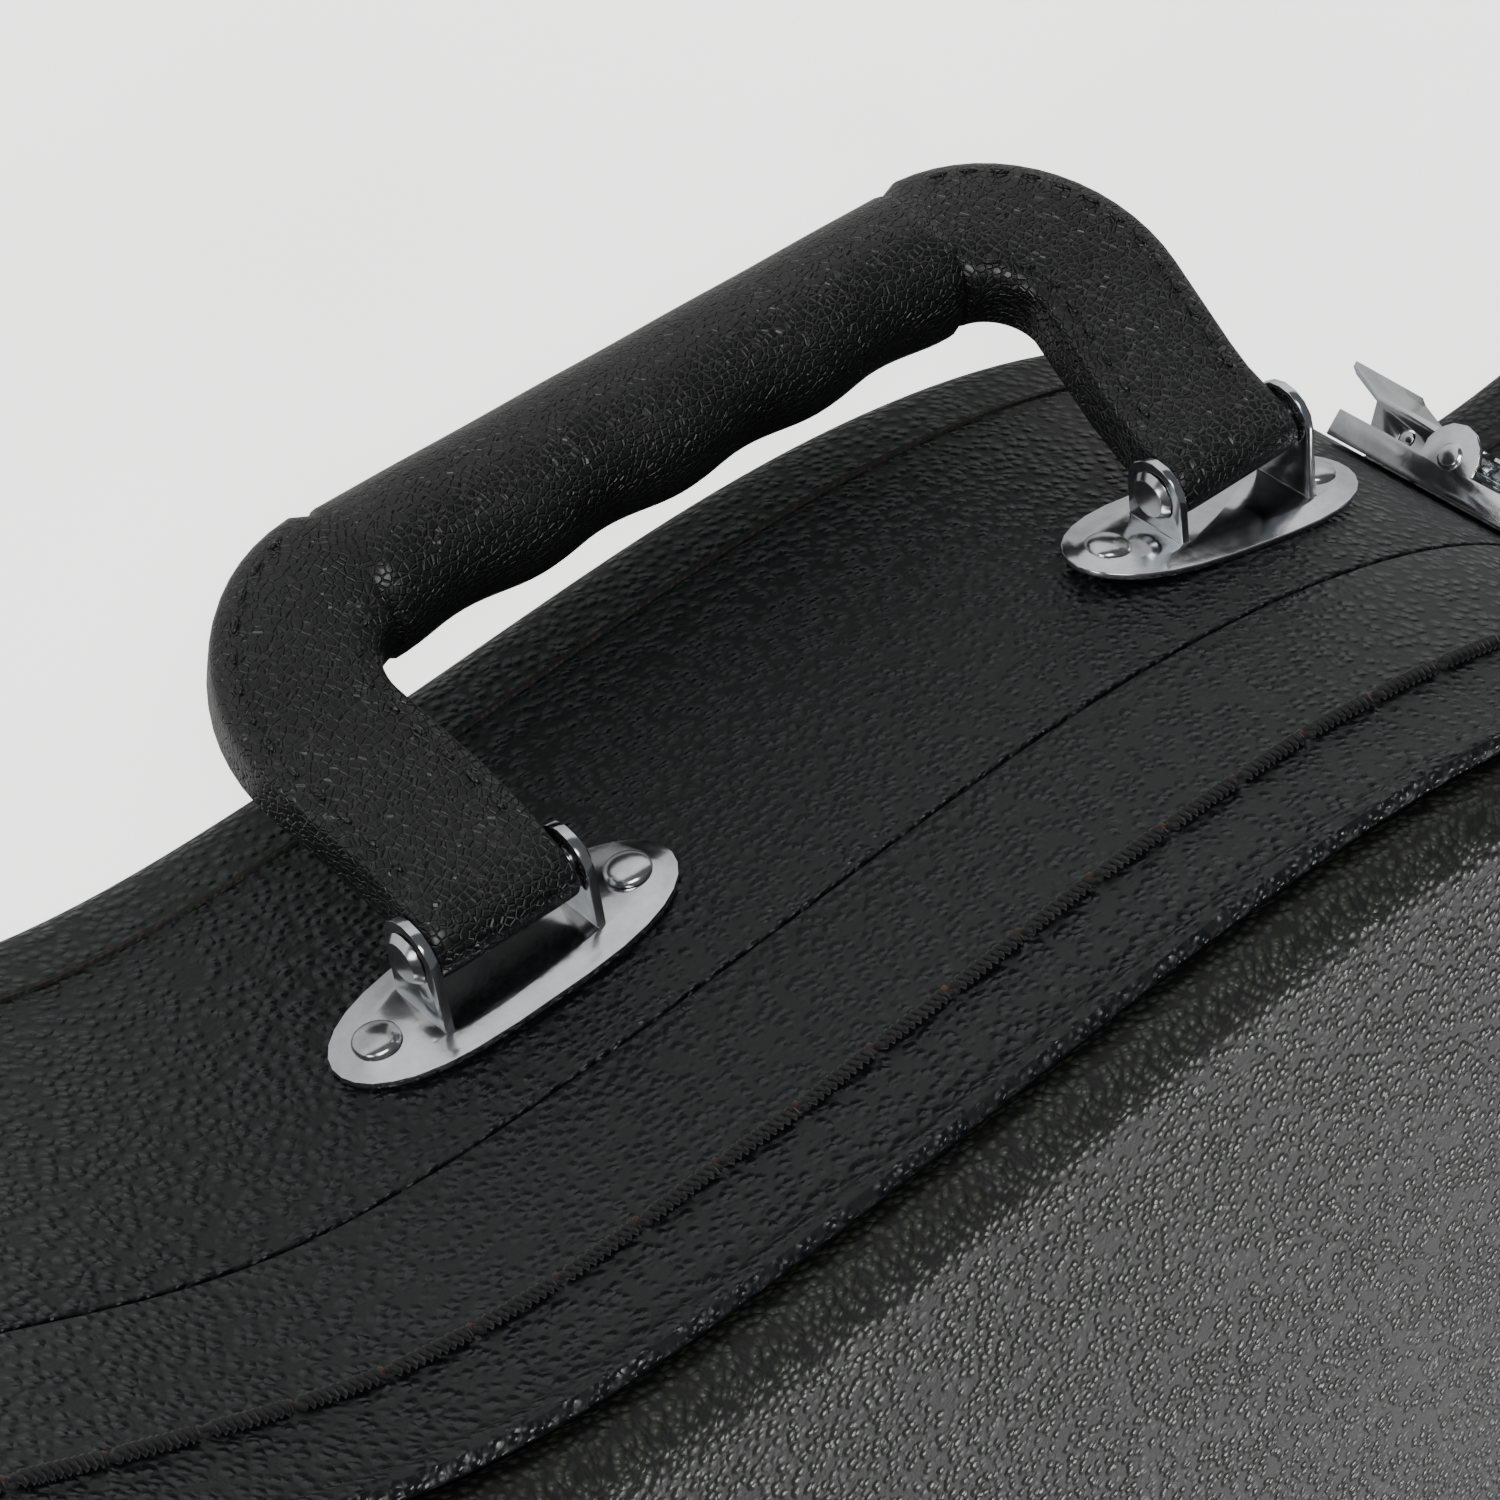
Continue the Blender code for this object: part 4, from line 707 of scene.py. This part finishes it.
def rivet_head(node, name):
    """A pressed dome head, turned from its profile."""
    low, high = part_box(node)
    centre = (low + high) / 2
    other = node[:-1] + ("b" if node.endswith("a") else "a")
    twin = sum(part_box(other), Vector()) / 2
    way = (centre - twin).normalized()
    out = way.cross(Vector((0, 0, 1))).normalized()
    if out.y > 0:
        out = -out
    radius, height = 0.0040, 0.0017
    bm = bmesh.new()
    profile = [(radius, 0.0), (radius, height * 0.16)]
    for turned in (15, 32, 50, 68, 84, 90):
        angle = math.radians(turned)
        profile.append((radius * math.cos(angle), height * (0.16 + 0.84 * math.sin(angle))))
    verts = [bm.verts.new((max(r, 0.0), 0, z)) for r, z in profile]
    verts.insert(0, bm.verts.new((0, 0, 0)))
    edges = [bm.edges.new(pair) for pair in zip(verts, verts[1:])]
    bmesh.ops.spin(
        bm, geom=verts + edges, cent=(0, 0, 0), axis=(0, 0, 1), angle=2 * math.pi, steps=32, use_merge=True,
    )
    bmesh.ops.remove_doubles(bm, verts=bm.verts, dist=1e-6)
    bmesh.ops.recalc_face_normals(bm, faces=bm.faces)
    turn = Vector((0, 0, 1)).rotation_difference(out).to_matrix().to_4x4()
    base = centre - out * (height / 2)
    bmesh.ops.transform(bm, matrix=Matrix.Translation(base) @ turn, verts=bm.verts)
    dressed(object_of(name, bm), PIN_STEEL, "base", "chromed_steel", node)


def hardware():
    bodies = frame["record"]["behaviour"]["bodies"]
    body_of = {node: body for body, nodes in bodies.items() for node in nodes}
    for node in sorted(NODES):
        if node.startswith("bracket_rivet"):
            rivet_head(node, f"{node}_head")
        elif node.startswith(("handle_bracket", "latch_", "hinge_base", "hinge_lid")):
            bevelled(node, f"{node}_plated", body_of[node], CHROME)
        elif node.startswith(("handle_pin", "hinge_pin")):
            bevelled(node, f"{node}_plated", body_of[node], PIN_STEEL, 0.0003, 3)


# Linings

def padded_copy(node, body, voxel, ripple):
    """Plush over thin foam: the solid's own form with soft edges and a slightly uneven surface."""
    piece = copy_of(node, f"{node}_plush")
    remesh = piece.modifiers.new("even faces", "REMESH")
    remesh.mode = "VOXEL"
    remesh.voxel_size = voxel
    smooth = piece.modifiers.new("soft edges", "SMOOTH")
    smooth.factor = 0.5
    smooth.iterations = 3
    applied(piece)
    mesh = piece.data
    count = len(mesh.vertices)
    places, normals = np.empty(count * 3), np.empty(count * 3)
    mesh.vertices.foreach_get("co", places)
    mesh.vertex_normals.foreach_get("vector", normals)
    places, normals = places.reshape(-1, 3), normals.reshape(-1, 3)
    wave = np.array([noise.noise(Vector(p) * 28.0) for p in places])
    places -= normals * (ripple * (0.5 + 0.5 * wave))[:, None]
    mesh.vertices.foreach_set("co", places.ravel())
    mesh.update()
    mesh.shade_smooth()
    dressed(piece, PLUSH, body, "plush", node)
    return piece


def linings():
    padded_copy("base_floor_lining", "base", 0.0045, 0.0006)
    padded_copy("base_side_lining", "base", 0.0045, 0.0006)
    padded_copy("lid_lining", "lid", 0.0040, 0.0004)
    padded_copy("neck_cradle", "base", 0.0035, 0.0006)
    padded_copy("accessory_box_front_wall", "base", 0.0024, 0.0003)
    padded_copy("accessory_box_rear_wall", "base", 0.0024, 0.0003)
    for node in ("accessory_box_hinge_shelf", "accessory_box_pull_shelf"):
        padded_copy(node, "base", 0.0018, 0.0002)
    padded_copy("accessory_box_lid", "accessory_lid", 0.0018, 0.0002)
    tab, ribbon = "accessory_box_pull_tab", "accessory_box_pull_ribbon"
    bevelled(tab, ribbon, "accessory_lid", RIBBON, 0.0003, 2, "ribbon")


def carried_over():
    for node, finish in (("base_bottom_panel", SIDE_VINYL), ("base_valance", PLY)):
        NODES[node].data.materials.clear()
        NODES[node].data.materials.append(finish)


# Stage

def stage():
    made, tree, shader = new_material("opal floor lit from below")
    at = add(tree, "ShaderNodeTexCoord").outputs["Object"]
    mottle = add(tree, "ShaderNodeTexNoise", {"Scale": 6.0, "Detail": 3.0}, {"Vector": at}).outputs["Fac"]
    tint = ramp(tree, mottle, ((0.3, linear("#eeeeec")), (0.7, linear("#f6f6f5"))))
    tree.links.new(tint.outputs["Color"], shader.inputs["Base Color"])
    tree.links.new(tint.outputs["Color"], shader.inputs["Emission Color"])
    seen = add(tree, "ShaderNodeLightPath").outputs["Is Camera Ray"]
    glow = add(tree, "ShaderNodeMapRange", {"To Min": 0.35, "To Max": 2.6}, {"Value": seen})
    tree.links.new(glow.outputs["Result"], shader.inputs["Emission Strength"])
    shader.inputs["Roughness"].default_value = 0.9
    bm = bmesh.new()
    bmesh.ops.create_grid(bm, x_segments=1, y_segments=1, size=6.0)
    bmesh.ops.translate(bm, vec=(0, 0, -0.0002), verts=bm.verts)
    floor = object_of("floor", bm)
    floor.data.materials.append(made)


def area_light(name, direction, distance, size, power, colour="#ffffff", target=(0.1, -0.1, 0.08)):
    data = bpy.data.lights.new(name, "AREA")
    data.shape = "RECTANGLE"
    data.size, data.size_y = size
    data.energy = power
    data.color = linear(colour)[:3]
    lamp = bpy.data.objects.new(name, data)
    direction = Vector(direction).normalized()
    lamp.location = Vector(target) + direction * distance
    lamp.rotation_mode = "QUATERNION"
    lamp.rotation_quaternion = direction.to_track_quat("Z", "Y")
    bpy.context.scene.collection.objects.link(lamp)


def lights():
    area_light("window light over the lid", (-0.45, 0.66, 0.66), 2.2, (1.3, 0.5), 34)
    area_light("soft light on the handle side", (0.25, -0.80, 0.75), 2.4, (1.5, 0.7), 26)
    area_light("fill from the tail", (1.0, -0.35, 0.35), 2.6, (1.2, 0.8), 14)
    world = bpy.data.worlds.new("studio air")
    bpy.context.scene.world = world
    world.use_nodes = True
    world.node_tree.nodes["Background"].inputs["Color"].default_value = linear("#e8ebee")
    world.node_tree.nodes["Background"].inputs["Strength"].default_value = 0.16


def camera():
    """The photograph's own viewpoint, fitted to the case's lines: close, from above the handle side."""
    data = bpy.data.cameras.new("camera")
    data.sensor_width = 36.0
    data.lens = 36.0 * 3949 / 1500
    data.clip_start, data.clip_end = 0.02, 50.0
    cam = bpy.data.objects.new("camera", data)
    forward = Vector((-0.392, 0.6626, -0.6381)).normalized()
    up = Vector((-0.5131, -0.7332, -0.4462))
    right = forward.cross(up).normalized()
    up = right.cross(forward)
    place = Matrix((right, up, -forward)).transposed().to_4x4()
    place.translation = Vector((0.3691, -0.5842, 0.4679))
    cam.matrix_world = place
    bpy.context.scene.collection.objects.link(cam)
    bpy.context.scene.camera = cam


base_shell()
lid_shell()
lid_panel()
thread_line()
handle_moulding()
hardware()
linings()
carried_over()
stage()
lights()
camera()
